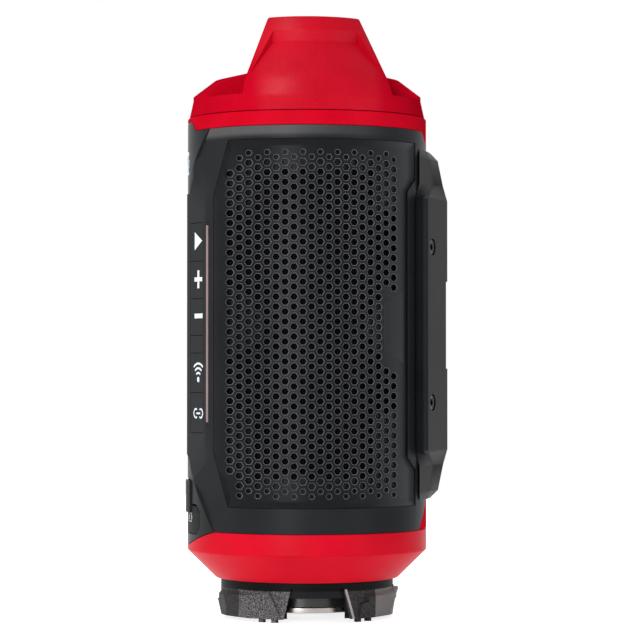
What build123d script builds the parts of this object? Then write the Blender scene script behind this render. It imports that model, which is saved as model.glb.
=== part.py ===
from build123d import *
import math
import os

os.makedirs("parts", exist_ok=True)

# Upright drum speaker, millimetres. Z is the drum's axis, Z = 0 the plane it stands on.
# The front faces -Y, the control strip is on the -X side and the foot bracket on the +X side.

# ------------------------------------------------------------------ driving dimensions
body_r = 44.0  # outer skins
skin_t = 3.6  # bezels and side panel
core_t = 2.4  # tube of the housing
seat_gap = 0.2  # radial seat between skin and core
joint_gap = 0.15  # butt joints between skins

# Heights, from the claws up
cap_bottom_z = 14.5  # underside of the bottom cap
cap_chamfer_h = 10.3
cap_chamfer_w = 10.5
cap_wall_h = 7.7
skin_h = 145.2  # bezels and side panel, between the bottom cap and the collar
collar_h = 5.2

# Bottom cap, and the housing's floor and shelf
cap_floor_t = 3.0
cap_well_wall = 4.2
cap_boss_r = 4.4
seal_w = 2.0
seal_h = 1.5
seal_gap = 0.1
floor_drop = 0.6  # the floor's underside below the chamfer's top edge
floor_t = 5.0
floor_hole_r = 14.0
shelf_hole_r = 21.0
shelf_drop = 1.7  # the shelf's underside below the collar
shelf_t = 4.5
lid_screw_in = 6.8  # from the core's inner wall
lid_screw_length = 10.0

# Side openings in the skin: half-widths along Y, and heights from the skin's top and bottom edges
panel_shoulder_half = 22.0
panel_tongue_half = 12.0
panel_tongue_tip_half = 8.0
panel_tongue_h = 3.6
panel_waist_half = 2.1
panel_waist_drop = 21.2
panel_waist_rise = 27.8
panel_hip_half = 17.9
panel_hip_rise = 9.0
panel_foot_half = 24.3
panel_toe_half = 4.0
panel_toe_drop = 5.5
spine_shoulder_half = 19.0
spine_neck_half = 11.2
spine_neck_drop = 5.2
spine_waist_half = 4.0
spine_waist_drop = 14.7
spine_waist_rise = 19.5
spine_foot_half = 22.0

# Grille opening in the front and rear bezels
opening_side = 7.4  # seen from the front, from the drum's edge
opening_corner_w = 4.6
opening_corner_h = 19.5
opening_low_h = 9.1  # bezel's lower band
opening_top_h = 4.8  # bezel's upper band
notch_w = 3.6  # the opening stops this far short beside the bracket
notch_half_z = 48.0
notch_slope = 4.5
window_border = 3.0  # the core's window inside the opening
grille_recess = 1.5
cloth_t = 0.4
cloth_room = 0.5  # behind the grille, down to the core
cloth_border = 0.8
hole_r = 1.35  # hexagon, centre to corner
hole_pitch_z = 3.54
hole_pitch_x = 3.09
hole_columns = 20
hole_rows = 37
first_column_x = -31.3
hole_lift = 0.8  # of the middle row, over the bracket's middle
sound_zone_r = 28.0  # holes go right through inside these circles

# Control strip: a flat on the left of the front bezel
strip_angle = 68.8  # its normal, degrees from the front
strip_sink = 1.53  # the flat's middle inside the drum's radius
strip_outer_s = -13.9  # its edges, along the flat from the foot of the normal
strip_inner_s = 1.36
strip_end_h = 11.0  # plain ends above and below the keys
strip_run_out = 12.0
strip_t = 1.9
bevel_end = 4.0  # the bevel beside it starts to run out this far inside the opening's ends
bevel_rise = 1.7  # out of its own plane, where it ends at the collar and the cap
keys_lift = 0.9  # middle of the keys above the skin's middle
key_s = -5.6
key_w = 10.4
key_gap = 0.2
key_body_t = 1.9
key_flange_t = 0.5
key_flange_side = 1.0
key_travel = 0.4
key_slot_gap = 1.2
key_slot_depth = 18.0
key_board_end = 1.0
link_key_h = 14.4
wireless_key_h = 14.2
status_h = 6.2
down_key_h = 13.2
up_key_h = 13.4
play_key_h = 13.8
light_w = 1.1
light_gap = 0.05
light_low_in = 3.9  # its ends inside the ends of the keys
light_top_in = 1.2
switch_w = 6.0
switch_h = 3.0
switch_stem_r = 1.6
switch_clear = 0.1
board_t = 1.0

# Power button, on the left side panel
power_drop = 11.3
power_ring_r = 4.45
power_ring_t = 0.9
power_ring_depth = 2.6
power_sink = 0.25
power_gap = 0.08
power_travel = 0.5
power_flange_t = 0.6
power_slot_gap = 0.3
power_board_in = 1.15  # inside the core's wall
power_board_gap = 0.1772  # from its upright edges to the core
power_board_h = 14.0

# Charging port, low on the left side panel
port_rise = 3.9
port_w = 8.9
port_h = 3.2
port_wall = 0.35
port_depth = 7.4
port_tongue_t = 0.7
port_slot_gap = 1.7
cover_half = 15.6
cover_drop = 1.3  # its lower edge below the skin's
cover_h = 10.0
cover_corner = 2.6
cover_t = 1.2
cover_gap = 0.5
cover_swing = 0.5  # more room above it, for its arc as it opens
cover_plug_w = 9.0
cover_plug_h = 3.4
cover_plug_t = 1.0
tab_half = 7.6
tab_h = 9.0
tab_root = 2.6
tab_t = 1.4
tab_proud = 0.7
tab_lift = 0.3  # over its pocket's floor
plug_space = 1.7  # round the plug, for its arc

# Foot bracket on the right. Each plan outline is listed from its outer flat inwards: how far a
# corner stands out of the drum's radius, and its half-width.
bracket_lift = 2.0  # its middle above the skin's middle
bracket_half_z = 63.8
bracket_block_half_z = 45.6
bracket_ridge_half_z = 51.4
bracket_shoulder_half_z = 60.8
bracket_block = ((7.0, 9.2), (-3.1, 26.8), (-5.0, 27.6), (-7.6, 24.0))
bracket_ridge = ((5.9, 6.2), (1.4, 11.3), (0.8, 12.3), (-5.7, 23.4))
bracket_shoulder = ((4.15, 5.2), (-0.5, 14.6), (-1.1, 15.5), (-5.7, 23.4))
bracket_tip = ((1.4, 4.6), (-1.0, 12.0), (-1.6, 13.2), (-5.4, 21.6))
bracket_screw_half = 22.7
bracket_screw_half_z = 28.25
bracket_screw_length = 9.0
bracket_seat = 1.2  # the screw heads lie this deep in the face
bracket_boss_r = 3.0
boss_mouth = 3.0  # the boss starts this far below the screw's seat
bracket_relief = 0.7
bracket_relief_half_z = 16.0

# Top lid and handle: radii inside the drum's, heights above the collar
lid_gap = 0.3
lid_in = 0.6
lid_rim_in = 2.0
lid_rim_h = 6.6
lid_slab_half = 16.6
lid_dome_h = 8.1
lid_roof_in = 9.6
lid_roof_h = 13.9
lid_crown_r = 25.0
lid_crown_h = 16.2
lid_spigot_t = 2.6
lid_boss_r = 3.2
lid_seal_t = 1.1
handle_h = 35.5
handle_top_r = 26.0
handle_foot_half = 25.5
handle_knee_half = 24.1
handle_knee_h = 13.5
handle_top_half = 16.35
handle_corner = 1.2
handle_narrowing = 0.17  # of each side, per millimetre towards the back
handle_width_at = 20.0  # distance ahead of the axis where the half-widths hold
handle_bar_t = 8.4
handle_tunnel_half = 12.5
handle_tunnel_corner = 3.0
badge_low_h = 14.1
badge_top_drop = 5.2
badge_floor_drop = 9.2
badge_depth = 3.0
badge_border = 6.8
badge_side_slope = 0.6

# Foot ring with three claws, and its pot magnet
neck_in = 1.8  # inside the cap's underside
neck_wall = 3.6
neck_socket_h = 1.2
foot_boss_r = 2.6
foot_screw_grip = 5.0  # of its hole in the cap
foot_screw_length = 9.0
neck_low_z = 12.5
ledge_z = 8.8
claw_count = 3
claw_top_out = 2.3  # out of the neck
claw_low_out = 0.5
claw_top_z = 11.2
claw_low_z = 1.3
claw_t = 2.2
claw_web_t = 1.4
claw_lip_z = 9.4
claw_shoulder_z = 11.5
claw_shoulder_low_z = 10.3
claw_shoulder_angle = 12.0  # where the shoulder steps up
claw_ramp = ((-19.0, 5.8), (-12.0, 7.9), (-10.8, 9.2), (5.0, 9.6), (19.0, 10.9))
claw_left = ((-31.0, -10.5, 12.0, 29.0), (-24.0, -12.0, 12.0, 36.0), (20.0, 30.0))
claw_right = ((-30.0, -10.0, 22.0, 31.0), (-31.0, -19.0, 2.0, 9.0), (-29.0, -19.0))
claw_rear = ((-30.0, -10.5, 10.5, 30.0), (-35.0, -14.5, 14.5, 35.0), (-22.0, 22.0))
window_top_half = 9.4
window_low_half = 12.3
nub_in = 2.6
nub_r = 1.3
cup_r = 22.5
cup_rim_w = 1.5
cup_low_z = 3.0
cup_rim_t = 2.0
cup_wall = 1.6
cup_gap = 0.1
magnet_bore_r = 6.0
magnet_gap = 0.15
magnet_sink = 0.3

# Drivers, baffles, battery and boards
driver_pitch = 53.4
baffle_front = 20.0  # distance ahead of the axis
baffle_t = 3.0
baffle_low_h = 10.5
baffle_top_drop = 3.0
baffle_gap = 0.15
driver_flange = 52.8
driver_flange_t = 1.5
driver_flange_corner = 4.0
driver_mouth_r = 23.0
driver_screw_half = 22.5
driver_depth = 24.0
basket_wall = 1.2
motor_r = 15.0
motor_h = 7.5
motor_floor = 2.0
coil_r = 6.5
coil_wall = 0.5
coil_h = 9.0
cone_edge = 4.6
cone_back = -6.5
cell_r = 9.2
cell_h = 65.0
cell_gap = 0.25
cell_side_x = 19.2
cell_side_back = 15.0
cell_mid_back = 26.5
cell_wall = 2.3
tray_h = 9.0
tray_floor = 2.5
clip_roof = 2.0
rear_shelf_rise = 5.25  # above the battery clip
rear_shelf_t = 2.0
radiator_r = 23.0
radiator_edge = 7.0
main_board_back = 9.0
main_board_t = 1.6
main_board_half = 26.0
main_board_h = 62.0
main_board_rise = 2.0
post_half = 2.4
board_screw_length = 6.0

# Screws: shank radius, head radius, head height
small_screw = (0.95, 1.9, 1.4)
case_screw = (1.5, 2.9, 2.2)
magnet_bolt = (1.5, 3.0, 1.6)
screw_gap = 0.08
head_sink = 0.2

# ------------------------------------------------------------------ derived sizes
core_r = body_r - skin_t - seat_gap
core_in = core_r - core_t
skin_in = core_r + seat_gap
cap_bottom_r = body_r - cap_chamfer_w
cap_edge_z = cap_bottom_z + cap_chamfer_h
cap_top_z = cap_edge_z + cap_wall_h
cap_well_r = cap_bottom_r - cap_well_wall
cap_screw_r = (floor_hole_r + cap_well_r) / 2
lid_screw_r = core_in - lid_screw_in
seal_r = core_r - 2 * seat_gap
collar_bottom_z = cap_top_z + skin_h
collar_top_z = collar_bottom_z + collar_h
skin_mid_z = (cap_top_z + collar_bottom_z) / 2
floor_low_z = cap_edge_z - floor_drop
floor_top_z = floor_low_z + floor_t
shelf_low_z = collar_bottom_z - shelf_drop
shelf_top_z = shelf_low_z + shelf_t
opening_half = body_r - opening_side
opening_corner_half = opening_half - opening_corner_w
opening_low_z = cap_top_z + opening_low_h
opening_top_z = collar_bottom_z - opening_top_h
grille_t = skin_t - grille_recess - cloth_room
bracket_mid_z = skin_mid_z + bracket_lift
notch_low_z = bracket_mid_z - notch_half_z
notch_top_z = bracket_mid_z + notch_half_z
strip_d = body_r - strip_sink
power_z = collar_bottom_z - power_drop
port_z = cap_top_z + port_rise
cover_low_z = cap_top_z - cover_drop
cover_top_z = cover_low_z + cover_h
tab_top_z = cover_top_z + tab_h
bracket_flat_x = body_r + bracket_block[0][0]
bracket_flat_half = bracket_block[0][1]
bracket_edge_x = body_r + bracket_block[1][0]
bracket_edge_half = bracket_block[1][1]
lid_low_z = collar_top_z + lid_gap
lid_r = body_r - lid_in
lid_rim_r = body_r - lid_rim_in
lid_rim_z = collar_top_z + lid_rim_h
lid_crown_z = collar_top_z + lid_crown_h
lid_roof_r = body_r - lid_roof_in
lid_roof_z = collar_top_z + lid_roof_h
handle_top_z = collar_top_z + handle_h
tunnel_top_z = handle_top_z - handle_bar_t
badge_low_z = collar_top_z + badge_low_h
badge_top_z = handle_top_z - badge_top_drop
badge_floor_z = handle_top_z - badge_floor_drop
neck_r = cap_bottom_r - neck_in
neck_inner_r = neck_r - neck_wall
claw_top_r = neck_r + claw_top_out
claw_low_r = neck_r + claw_low_out
foot_screw_r = (cup_r + neck_inner_r) / 2 + cup_gap
cup_top_z = ledge_z - cup_gap
magnet_top_z = cup_top_z - cup_wall
driver_centres_z = (bracket_mid_z - driver_pitch / 2, bracket_mid_z + driver_pitch / 2)
baffle_low_z = cap_top_z + baffle_low_h
baffle_top_z = shelf_low_z - baffle_top_drop
cell_low_z = floor_top_z + tray_floor
cell_top_z = cell_low_z + cell_h
rear_shelf_z = cell_top_z + clip_roof + rear_shelf_rise
radiator_z = (rear_shelf_z + baffle_top_z) / 2
main_board_low_z = rear_shelf_z + main_board_rise
main_board_top_z = main_board_low_z + main_board_h

UP = (Align.CENTER, Align.CENTER, Align.MIN)
DOWN = (Align.CENTER, Align.CENTER, Align.MAX)
INWARDS = (Align.MIN, Align.CENTER, Align.CENTER)
far = 80.0  # past every piece
tall = 300.0


def polar(r, degrees):
    """Point of the plan at radius r, degrees turned from the front towards +X."""
    a = math.radians(degrees)
    return (r * math.sin(a), -r * math.cos(a))


def disc(r, z0, z1):
    return Pos(0, 0, z0) * Cylinder(r, z1 - z0, align=UP)


def ring(r_out, r_in, z0, z1):
    return disc(r_out, z0, z1) - disc(r_in, z0 - 1, z1 + 1)


def block(x0, x1, y0, y1, z0, z1):
    return Pos((x0 + x1) / 2, (y0 + y1) / 2, z0) * Box(x1 - x0, y1 - y0, z1 - z0, align=UP)


def outline(points, shrink=0.0):
    face = make_face(Polyline(*points, close=True))
    return offset(face, amount=-shrink, kind=Kind.INTERSECTION) if shrink else face


def upright(points, z0, z1, shrink=0.0):
    """Prism on a plan outline."""
    return Pos(0, 0, z0) * extrude(outline(points, shrink), amount=z1 - z0, dir=(0, 0, 1))


def sideways(points, x0, x1, shrink=0.0):
    """Prism along X on a (y, z) outline."""
    return Pos(x0, 0, 0) * extrude(Plane.YZ * outline(points, shrink), amount=x1 - x0, dir=(1, 0, 0))


def forwards(points, f0, f1, shrink=0.0):
    """Prism along -Y on an (x, z) outline, from f0 to f1 ahead of the axis."""
    return Pos(0, -f0, 0) * extrude(Plane.XZ * outline(points, shrink), amount=f1 - f0, dir=(0, -1, 0))


def turned(points):
    """Solid turned about Z from an (r, z) outline."""
    return revolve(Plane.XZ * make_face(Polyline(*points, close=True)), Axis.Z)


def mirrored(points):
    """Outline made symmetric in its first coordinate from its half with positive values."""
    return list(points) + [(-a, b) for a, b in reversed(points)]


def screw(size, length):
    """Screw with a pan head. Its seat is at the origin and its shank runs towards -Z."""
    shank_r, head_r, head_h = size
    socket = extrude(RegularPolygon(head_r * 0.5, 6), amount=head_h)
    head = Cylinder(head_r, head_h, align=UP) - Pos(0, 0, head_h * 0.45) * socket
    return head + Cylinder(shank_r, length, align=DOWN)


def screw_hole(size, length, seat=0.0):
    """What a screw passes through, with a pocket for its head when seat is given."""
    shank_r, head_r, head_h = size
    hole = Cylinder(shank_r + screw_gap, length, align=DOWN)
    if seat:
        hole += Cylinder(head_r + screw_gap * 2, seat, align=UP)
    return hole


def group(solids):
    return Compound(children=[s for part in solids for s in part.solids()])


def save(name, shape):
    export_step(shape, f"parts/{name}.step")


# ------------------------------------------------------------------ skin outlines
panel_points = mirrored(
    [
        (panel_tongue_tip_half, collar_bottom_z + panel_tongue_h),
        (panel_tongue_half, collar_bottom_z),
        (panel_shoulder_half, collar_bottom_z),
        (panel_waist_half, collar_bottom_z - panel_waist_drop),
        (panel_waist_half, cap_top_z + panel_waist_rise),
        (panel_hip_half, cap_top_z + panel_hip_rise),
        (panel_foot_half, cap_top_z),
        (panel_toe_half, cap_top_z - panel_toe_drop),
    ]
)
spine_points = mirrored(
    [
        (spine_shoulder_half, collar_bottom_z + 1),
        (spine_shoulder_half, collar_bottom_z - joint_gap),
        (spine_neck_half, collar_bottom_z - spine_neck_drop),
        (spine_waist_half, collar_bottom_z - spine_waist_drop),
        (spine_waist_half, cap_top_z + spine_waist_rise),
        (spine_foot_half, cap_top_z),
    ]
)
opening_points = [
    (-opening_corner_half, opening_low_z),
    (-opening_half, opening_low_z + opening_corner_h),
    (-opening_half, opening_top_z - opening_corner_h),
    (-opening_corner_half, opening_top_z),
    (opening_half, opening_top_z),
    (opening_half, notch_top_z + notch_slope),
    (opening_half - notch_w, notch_top_z),
    (opening_half - notch_w, notch_low_z),
    (opening_half, notch_low_z - notch_slope),
    (opening_half, opening_low_z),
]
panel_space = sideways(panel_points, -far, 0)
spine_space = sideways(spine_points, 0, far)

# Frame of the control strip: x along the flat, y up, z outwards
strip_out = Vector(-math.sin(math.radians(strip_angle)), -math.cos(math.radians(strip_angle)), 0)
strip_along = Vector(math.cos(math.radians(strip_angle)), -math.sin(math.radians(strip_angle)), 0)
strip = Plane(origin=strip_out * strip_d, x_dir=strip_along, z_dir=strip_out)

# Stack of the keys, from the lowest: name, height
key_stack = [
    ("link_key", link_key_h),
    ("wireless_key", wireless_key_h),
    ("status_window", status_h),
    ("volume_down_key", down_key_h),
    ("volume_up_key", up_key_h),
    ("play_key", play_key_h),
]
key_span = sum(h for _, h in key_stack) + key_gap * (len(key_stack) - 1)
key_mid_z = skin_mid_z + keys_lift
key_low_z = key_mid_z - key_span / 2
key_top_z = key_mid_z + key_span / 2
key_under = -key_body_t - key_flange_t
switch_top = key_under - key_travel - switch_clear
strip_low_z = key_low_z - strip_end_h
strip_top_z = key_top_z + strip_end_h

# Bracket screws: a frame on each slanted face, z outwards
face_run = Vector(bracket_edge_x - bracket_flat_x, bracket_edge_half - bracket_flat_half, 0).normalized()
face_out = Vector(face_run.Y, -face_run.X, 0)
screw_x = bracket_flat_x + face_run.X * (bracket_screw_half - bracket_flat_half) / face_run.Y


def bracket_screw_frames():
    for side in (1, -1):
        for lift in (1, -1):
            out = Vector(face_out.X, face_out.Y * side, 0)
            place = Vector(screw_x, bracket_screw_half * side, bracket_mid_z + bracket_screw_half_z * lift)
            yield Plane(origin=place - out * (case_screw[2] + bracket_seat), z_dir=out, x_dir=(0, 0, 1))


def bracket_boss(frame, grow):
    """Boss of the housing round a bracket screw's end."""
    length = bracket_screw_length + 1 + grow
    return frame * Pos(0, 0, -length) * Cylinder(bracket_boss_r + grow, length - boss_mouth, align=UP)


# ------------------------------------------------------------------ housing
def housing():
    """Red core: tube with floor and shelf, the collar, the spine and the screw bosses."""
    body = ring(core_r, core_in, floor_low_z, collar_top_z)
    body += ring(core_r, floor_hole_r, floor_low_z, floor_top_z)
    body += ring(core_r, shelf_hole_r, shelf_low_z, shelf_top_z)
    body += ring(body_r, core_in, collar_bottom_z, collar_top_z)
    body -= panel_space & ring(far, core_r, collar_bottom_z, collar_top_z)
    spine = ring(body_r, core_r - 1, cap_top_z + joint_gap, collar_bottom_z + 1)
    body += spine & sideways(spine_points, 0, far, shrink=joint_gap)
    half = opening_half - notch_w
    front_low_z = opening_low_z + window_border
    body -= block(-half, half, -far, 0, front_low_z, opening_top_z - window_border)
    body -= block(-half, half, 0, far, rear_shelf_z + window_border, opening_top_z - window_border)
    slot_w = key_w + (key_flange_side + key_slot_gap) * 2
    body -= strip * Pos(key_s, key_mid_z, 0) * Box(slot_w, key_span + key_board_end * 2 + 1, key_slot_depth)
    for frame in bracket_screw_frames():
        body += bracket_boss(frame, 0) & disc(core_r - 0.5, cap_top_z, collar_bottom_z)
        body -= frame * screw_hole(case_screw, bracket_screw_length + 0.4)
    body -= axial_x(power_ring_r + power_slot_gap, -body_r, -core_in + 6)
    port_slot = Box(far, port_w + port_slot_gap * 2, port_h + port_slot_gap * 2)
    body -= Pos(-far / 2 - core_in + 3, 0, port_z) * port_slot
    for place in cap_screw_places() + lid_screw_places():
        body -= Pos(*place, 0) * Cylinder(case_screw[0] + screw_gap, tall * 2)
    return body


def axial_x(r, x0, x1):
    """Cylinder along X at the power button."""
    return Pos(x0, 0, power_z) * Rot(0, 90, 0) * Cylinder(r, x1 - x0, align=UP)


def cap_screw_places():
    return [polar(cap_screw_r, angle) for angle in (30, 150, 210, 330)]


def lid_screw_places():
    return [polar(lid_screw_r, angle) for angle in (45, 135, 225, 315)]


save("housing", housing())


# ------------------------------------------------------------------ bottom cap
def bottom_cap():
    """Red cup with a 45 degree chamfer; its front edge dips below the side panel."""
    cap = turned(
        [
            (0, cap_bottom_z),
            (cap_bottom_r, cap_bottom_z),
            (body_r, cap_edge_z),
            (body_r, cap_top_z),
            (0, cap_top_z),
        ]
    )
    cap -= disc(skin_in, floor_low_z, cap_top_z + 1)
    cap -= disc(cap_well_r, cap_bottom_z + cap_floor_t, floor_low_z + 1)
    cap -= ring(seal_r + seal_gap, seal_r - seal_w - seal_gap, floor_low_z - seal_h, floor_low_z + 1)
    boss_low_z = cap_bottom_z + 1
    boss_h = floor_low_z - seal_gap - boss_low_z
    for place in cap_screw_places():
        cap += Pos(*place, boss_low_z) * Cylinder(cap_boss_r, boss_h, align=UP)
        cap -= Pos(*place, cap_head_z) * Rot(180, 0, 0) * screw_hole(case_screw, far, seat=far)
    for turn in foot_screw_angles():
        place = polar(foot_screw_r, turn)
        cap += Pos(*place, boss_low_z) * Cylinder(foot_boss_r, boss_h, align=UP)
        cap -= Pos(*place, 0) * Cylinder(small_screw[0] + screw_gap, (cap_bottom_z + foot_screw_grip) * 2)
    cap -= ring(neck_r + seal_gap, neck_inner_r - seal_gap, 0, cap_bottom_z + neck_socket_h)
    cap -= panel_space & ring(far, core_r, 0, cap_top_z + 1)
    return cap


cap_head_z = cap_bottom_z + case_screw[2] + head_sink
cap_screw_length = floor_top_z - cap_head_z - 0.5


def foot_screw_angles():
    return [60 + 360 / claw_count * k for k in range(claw_count)]


save("bottom_cap", bottom_cap())
seal_slack = 0.05
save(
    "bottom_seal",
    ring(seal_r, seal_r - seal_w, floor_low_z - seal_h + seal_slack, floor_low_z - seal_slack),
)
save(
    "bottom_cap_screws",
    group(
        Pos(*place, cap_head_z) * Rot(180, 0, 0) * screw(case_screw, cap_screw_length)
        for place in cap_screw_places()
    ),
)


# ------------------------------------------------------------------ top lid with its bridge handle
def cone(r0, z0, r1, z1):
    return Pos(0, 0, z0) * Cone(r0, r1, z1 - z0, align=UP)


def handle_width(z0, z1, low, high, slope, inset):
    """Wedge across the handle, low to high ahead of the axis, where it widens by slope a side."""
    ends = []
    for ahead in (low, high):
        more = (ahead - handle_width_at) * slope - inset
        profile = [
            (handle_top_half + more, handle_top_z + 1),
            (handle_knee_half + more, collar_top_z + handle_knee_h),
            (handle_foot_half + more, lid_rim_z - 3),
        ]
        ends.append(Pos(0, -ahead, 0) * (Plane.XZ * outline(mirrored(profile))))
    return loft(ends, ruled=True) & block(-far, far, -far, far, z0, z1)


def handle_r(z):
    """Radius of the handle's sloping front at a height."""
    rise = (z - lid_rim_z) / (handle_top_z - lid_rim_z)
    return lid_rim_r + (handle_top_r - lid_rim_r) * rise


def badge():
    """Sunk panels on the handle's front and back, deepest at their upper edge."""
    dish = turned(
        [
            (handle_r(badge_low_z), badge_low_z),
            (handle_r(badge_floor_z) - badge_depth, badge_floor_z),
            (handle_r(badge_top_z), badge_top_z),
            (far, badge_top_z),
            (far, badge_low_z),
        ]
    )
    near = handle_width_at - 4
    slope = badge_side_slope + handle_narrowing
    front = handle_width(badge_low_z, badge_top_z, near, body_r, slope, badge_border)
    slope = badge_side_slope - handle_narrowing
    border = badge_border + handle_narrowing * handle_width_at * 2
    back = handle_width(badge_low_z, badge_top_z, near, body_r, slope, border)
    return (front + mirror(back, about=Plane.XZ)) & dish


lid_seal_z = shelf_top_z + 1.0


def top_lid():
    base = turned([(0, lid_low_z), (lid_r, lid_low_z), (lid_rim_r, lid_rim_z), (0, lid_rim_z)])
    dome = turned(
        [
            (0, lid_low_z + 1),
            (lid_rim_r, lid_rim_z - 0.5),
            (lid_rim_r, collar_top_z + lid_dome_h),
            (lid_roof_r, lid_roof_z),
            (lid_crown_r, lid_crown_z),
            (0, lid_crown_z),
        ]
    )
    lid = base + (dome & block(-far, far, -lid_slab_half, lid_slab_half, 0, far * 4))
    handle = cone(lid_rim_r, lid_rim_z, handle_top_r, handle_top_z)
    handle &= handle_width(lid_rim_z - 1, handle_top_z, -body_r, body_r, handle_narrowing, 0)
    corners = [e for e in handle.edges() if e.center().Z > collar_top_z + handle_knee_h + 1]
    handle = fillet(corners, handle_corner)
    handle -= badge()
    tunnel_points = [
        (handle_tunnel_half - handle_tunnel_corner, tunnel_top_z),
        (handle_tunnel_half, tunnel_top_z - handle_tunnel_corner),
        (handle_tunnel_half, lid_crown_z),
    ]
    lid += handle - sideways(mirrored(tunnel_points), -far, far)
    lid -= cone(shelf_hole_r, collar_top_z - 1, shelf_hole_r - 6, lid_roof_z - 1.5)
    lid += ring(core_in - seat_gap, core_in - seat_gap - lid_spigot_t, shelf_top_z + lid_gap, lid_low_z + 1)
    groove_top_z = lid_seal_z + lid_seal_t + seal_gap
    lid -= ring(core_in, core_in - lid_seal_t - seal_gap, lid_seal_z - seal_gap, groove_top_z)
    boss_h = lid_low_z - shelf_top_z + 1
    for place in lid_screw_places():
        lid += Pos(*place, shelf_top_z + seal_gap) * Cylinder(lid_boss_r, boss_h, align=UP)
        hole = Cylinder(case_screw[0] + screw_gap, lid_screw_length + 0.5, align=UP)
        lid -= Pos(*place, shelf_low_z) * hole
    return lid


save("top_lid", top_lid())
save("lid_seal", ring(core_in - seal_slack, core_in - lid_seal_t, lid_seal_z, lid_seal_z + lid_seal_t))
save(
    "lid_screws",
    group(
        Pos(*place, shelf_low_z) * Rot(180, 0, 0) * screw(case_screw, lid_screw_length)
        for place in lid_screw_places()
    ),
)


# ------------------------------------------------------------------ bezels
def plain_bezel():
    """Front half of the black skin, with the grille opening and the bracket's screw holes."""
    half = ring(body_r, skin_in, cap_top_z + joint_gap, collar_bottom_z - joint_gap)
    half &= block(-far, far, -far, 0, 0, tall)
    half -= panel_space
    half -= spine_space
    half -= forwards(opening_points, 0, far)
    for frame in bracket_screw_frames():
        half -= frame * screw_hole(case_screw, bracket_screw_length, seat=4.0)
    return half


def front_bezel():
    bezel = plain_bezel()
    face_cut = [
        (0, strip_low_z),
        (0, strip_top_z),
        (body_r - strip_d + 1, strip_top_z + strip_run_out),
        (far, strip_top_z + strip_run_out),
        (far, strip_low_z - strip_run_out),
        (body_r - strip_d + 1, strip_low_z - strip_run_out),
    ]
    cut_frame = Plane(
        origin=strip_out * strip_d + strip_along * strip_outer_s, x_dir=strip_out, z_dir=strip_along * -1
    )
    cut = extrude(cut_frame * make_face(Polyline(*face_cut, close=True)), amount=far, dir=strip_along)
    pad_w = strip_inner_s - strip_outer_s
    pad = strip * Pos((strip_inner_s + strip_outer_s) / 2, key_mid_z, 0) * Box(
        pad_w, strip_top_z - strip_low_z, strip_t, align=DOWN
    )
    pad -= disc(skin_in, 0, tall)
    pad -= panel_space
    bezel -= cut
    bezel += pad
    crease = strip.from_local_coords(Vector(strip_inner_s, 0, 0))
    foot_y = -math.sqrt((body_r - grille_recess) ** 2 - opening_half**2)
    along = (Vector(-opening_half + 0.5, foot_y, 0) - crease).normalized()
    bevel_out = Vector(along.Y, -along.X, 0)
    bevel_cut = [
        (0, opening_low_z + bevel_end),
        (0, opening_top_z - bevel_end),
        (bevel_rise, collar_bottom_z),
        (far, collar_bottom_z),
        (far, cap_top_z),
        (bevel_rise, cap_top_z),
    ]
    bevel_frame = Plane(origin=crease - along * far, x_dir=bevel_out, z_dir=along * -1)
    bezel -= extrude(bevel_frame * make_face(Polyline(*bevel_cut, close=True)), amount=far * 2, dir=along)
    slot_w = key_w + key_gap * 2
    bezel -= strip * Pos(key_s, key_mid_z, 0) * Box(slot_w, key_span + key_gap * 2, 12)
    relief_w = slot_w + key_flange_side * 2
    bezel -= strip * Pos(key_s, key_mid_z, -key_body_t + key_gap) * Box(
        relief_w, key_span + key_gap * 2, 6, align=DOWN
    )
    bezel -= light_bar(light_gap)
    return bezel


def light_bar(grow):
    """Bar let into the crease beside the keys, flush with the strip."""
    low_z = key_low_z + light_low_in
    top_z = key_top_z - light_top_in
    return strip * Pos(strip_inner_s - 0.1, (low_z + top_z) / 2, -light_gap) * Box(
        light_w + grow * 2, top_z - low_z + grow * 2, light_w + grow, align=DOWN
    )


save("front_bezel", front_bezel())
save("rear_bezel", mirror(plain_bezel(), about=Plane.XZ))
save("light_strip", light_bar(0))


# ------------------------------------------------------------------ grilles and dust cloths
def sound_hole(x, z):
    turns = [math.radians(60 * k) for k in range(6)]
    return Wire.make_polygon([Vector(x + hole_r * math.cos(a), 0, z + hole_r * math.sin(a)) for a in turns])


def sound_holes():
    """Hexagons of the pattern whose centres lie in either sound zone."""
    for column in range(hole_columns):
        x = first_column_x + column * hole_pitch_x
        for row in range(hole_rows):
            z = bracket_mid_z + hole_lift + (row - hole_rows // 2 + column % 2 / 2) * hole_pitch_z
            if min(math.hypot(x, z - centre) for centre in driver_centres_z) < sound_zone_r:
                yield sound_hole(x, z)


def grille():
    edge = (Plane.XZ * outline(opening_points, joint_gap)).face().outer_wire()
    plate = Solid.extrude(Face(edge, list(sound_holes())), Vector(0, -far, 0))
    shell = ring(body_r - grille_recess, body_r - grille_recess - grille_t, 0, tall)
    return plate & shell


front_grille = grille()
save("front_grille", front_grille)
save("rear_grille", mirror(front_grille, about=Plane.XZ))


def cloth():
    edge = forwards(opening_points, 0, far, shrink=cloth_border)
    inner_r = core_r + seat_gap / 2
    return edge & ring(inner_r + cloth_t, inner_r, 0, tall)


front_cloth = cloth()
save("front_dust_cloth", front_cloth)
save("rear_dust_cloth", mirror(front_cloth, about=Plane.XZ))


# ------------------------------------------------------------------ left side panel
cover_points = mirrored(
    [
        (cover_half - cover_corner, cover_top_z),
        (cover_half, cover_top_z - cover_corner),
        (cover_half, cover_low_z + cover_corner),
        (cover_half - cover_corner, cover_low_z),
    ]
)


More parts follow.
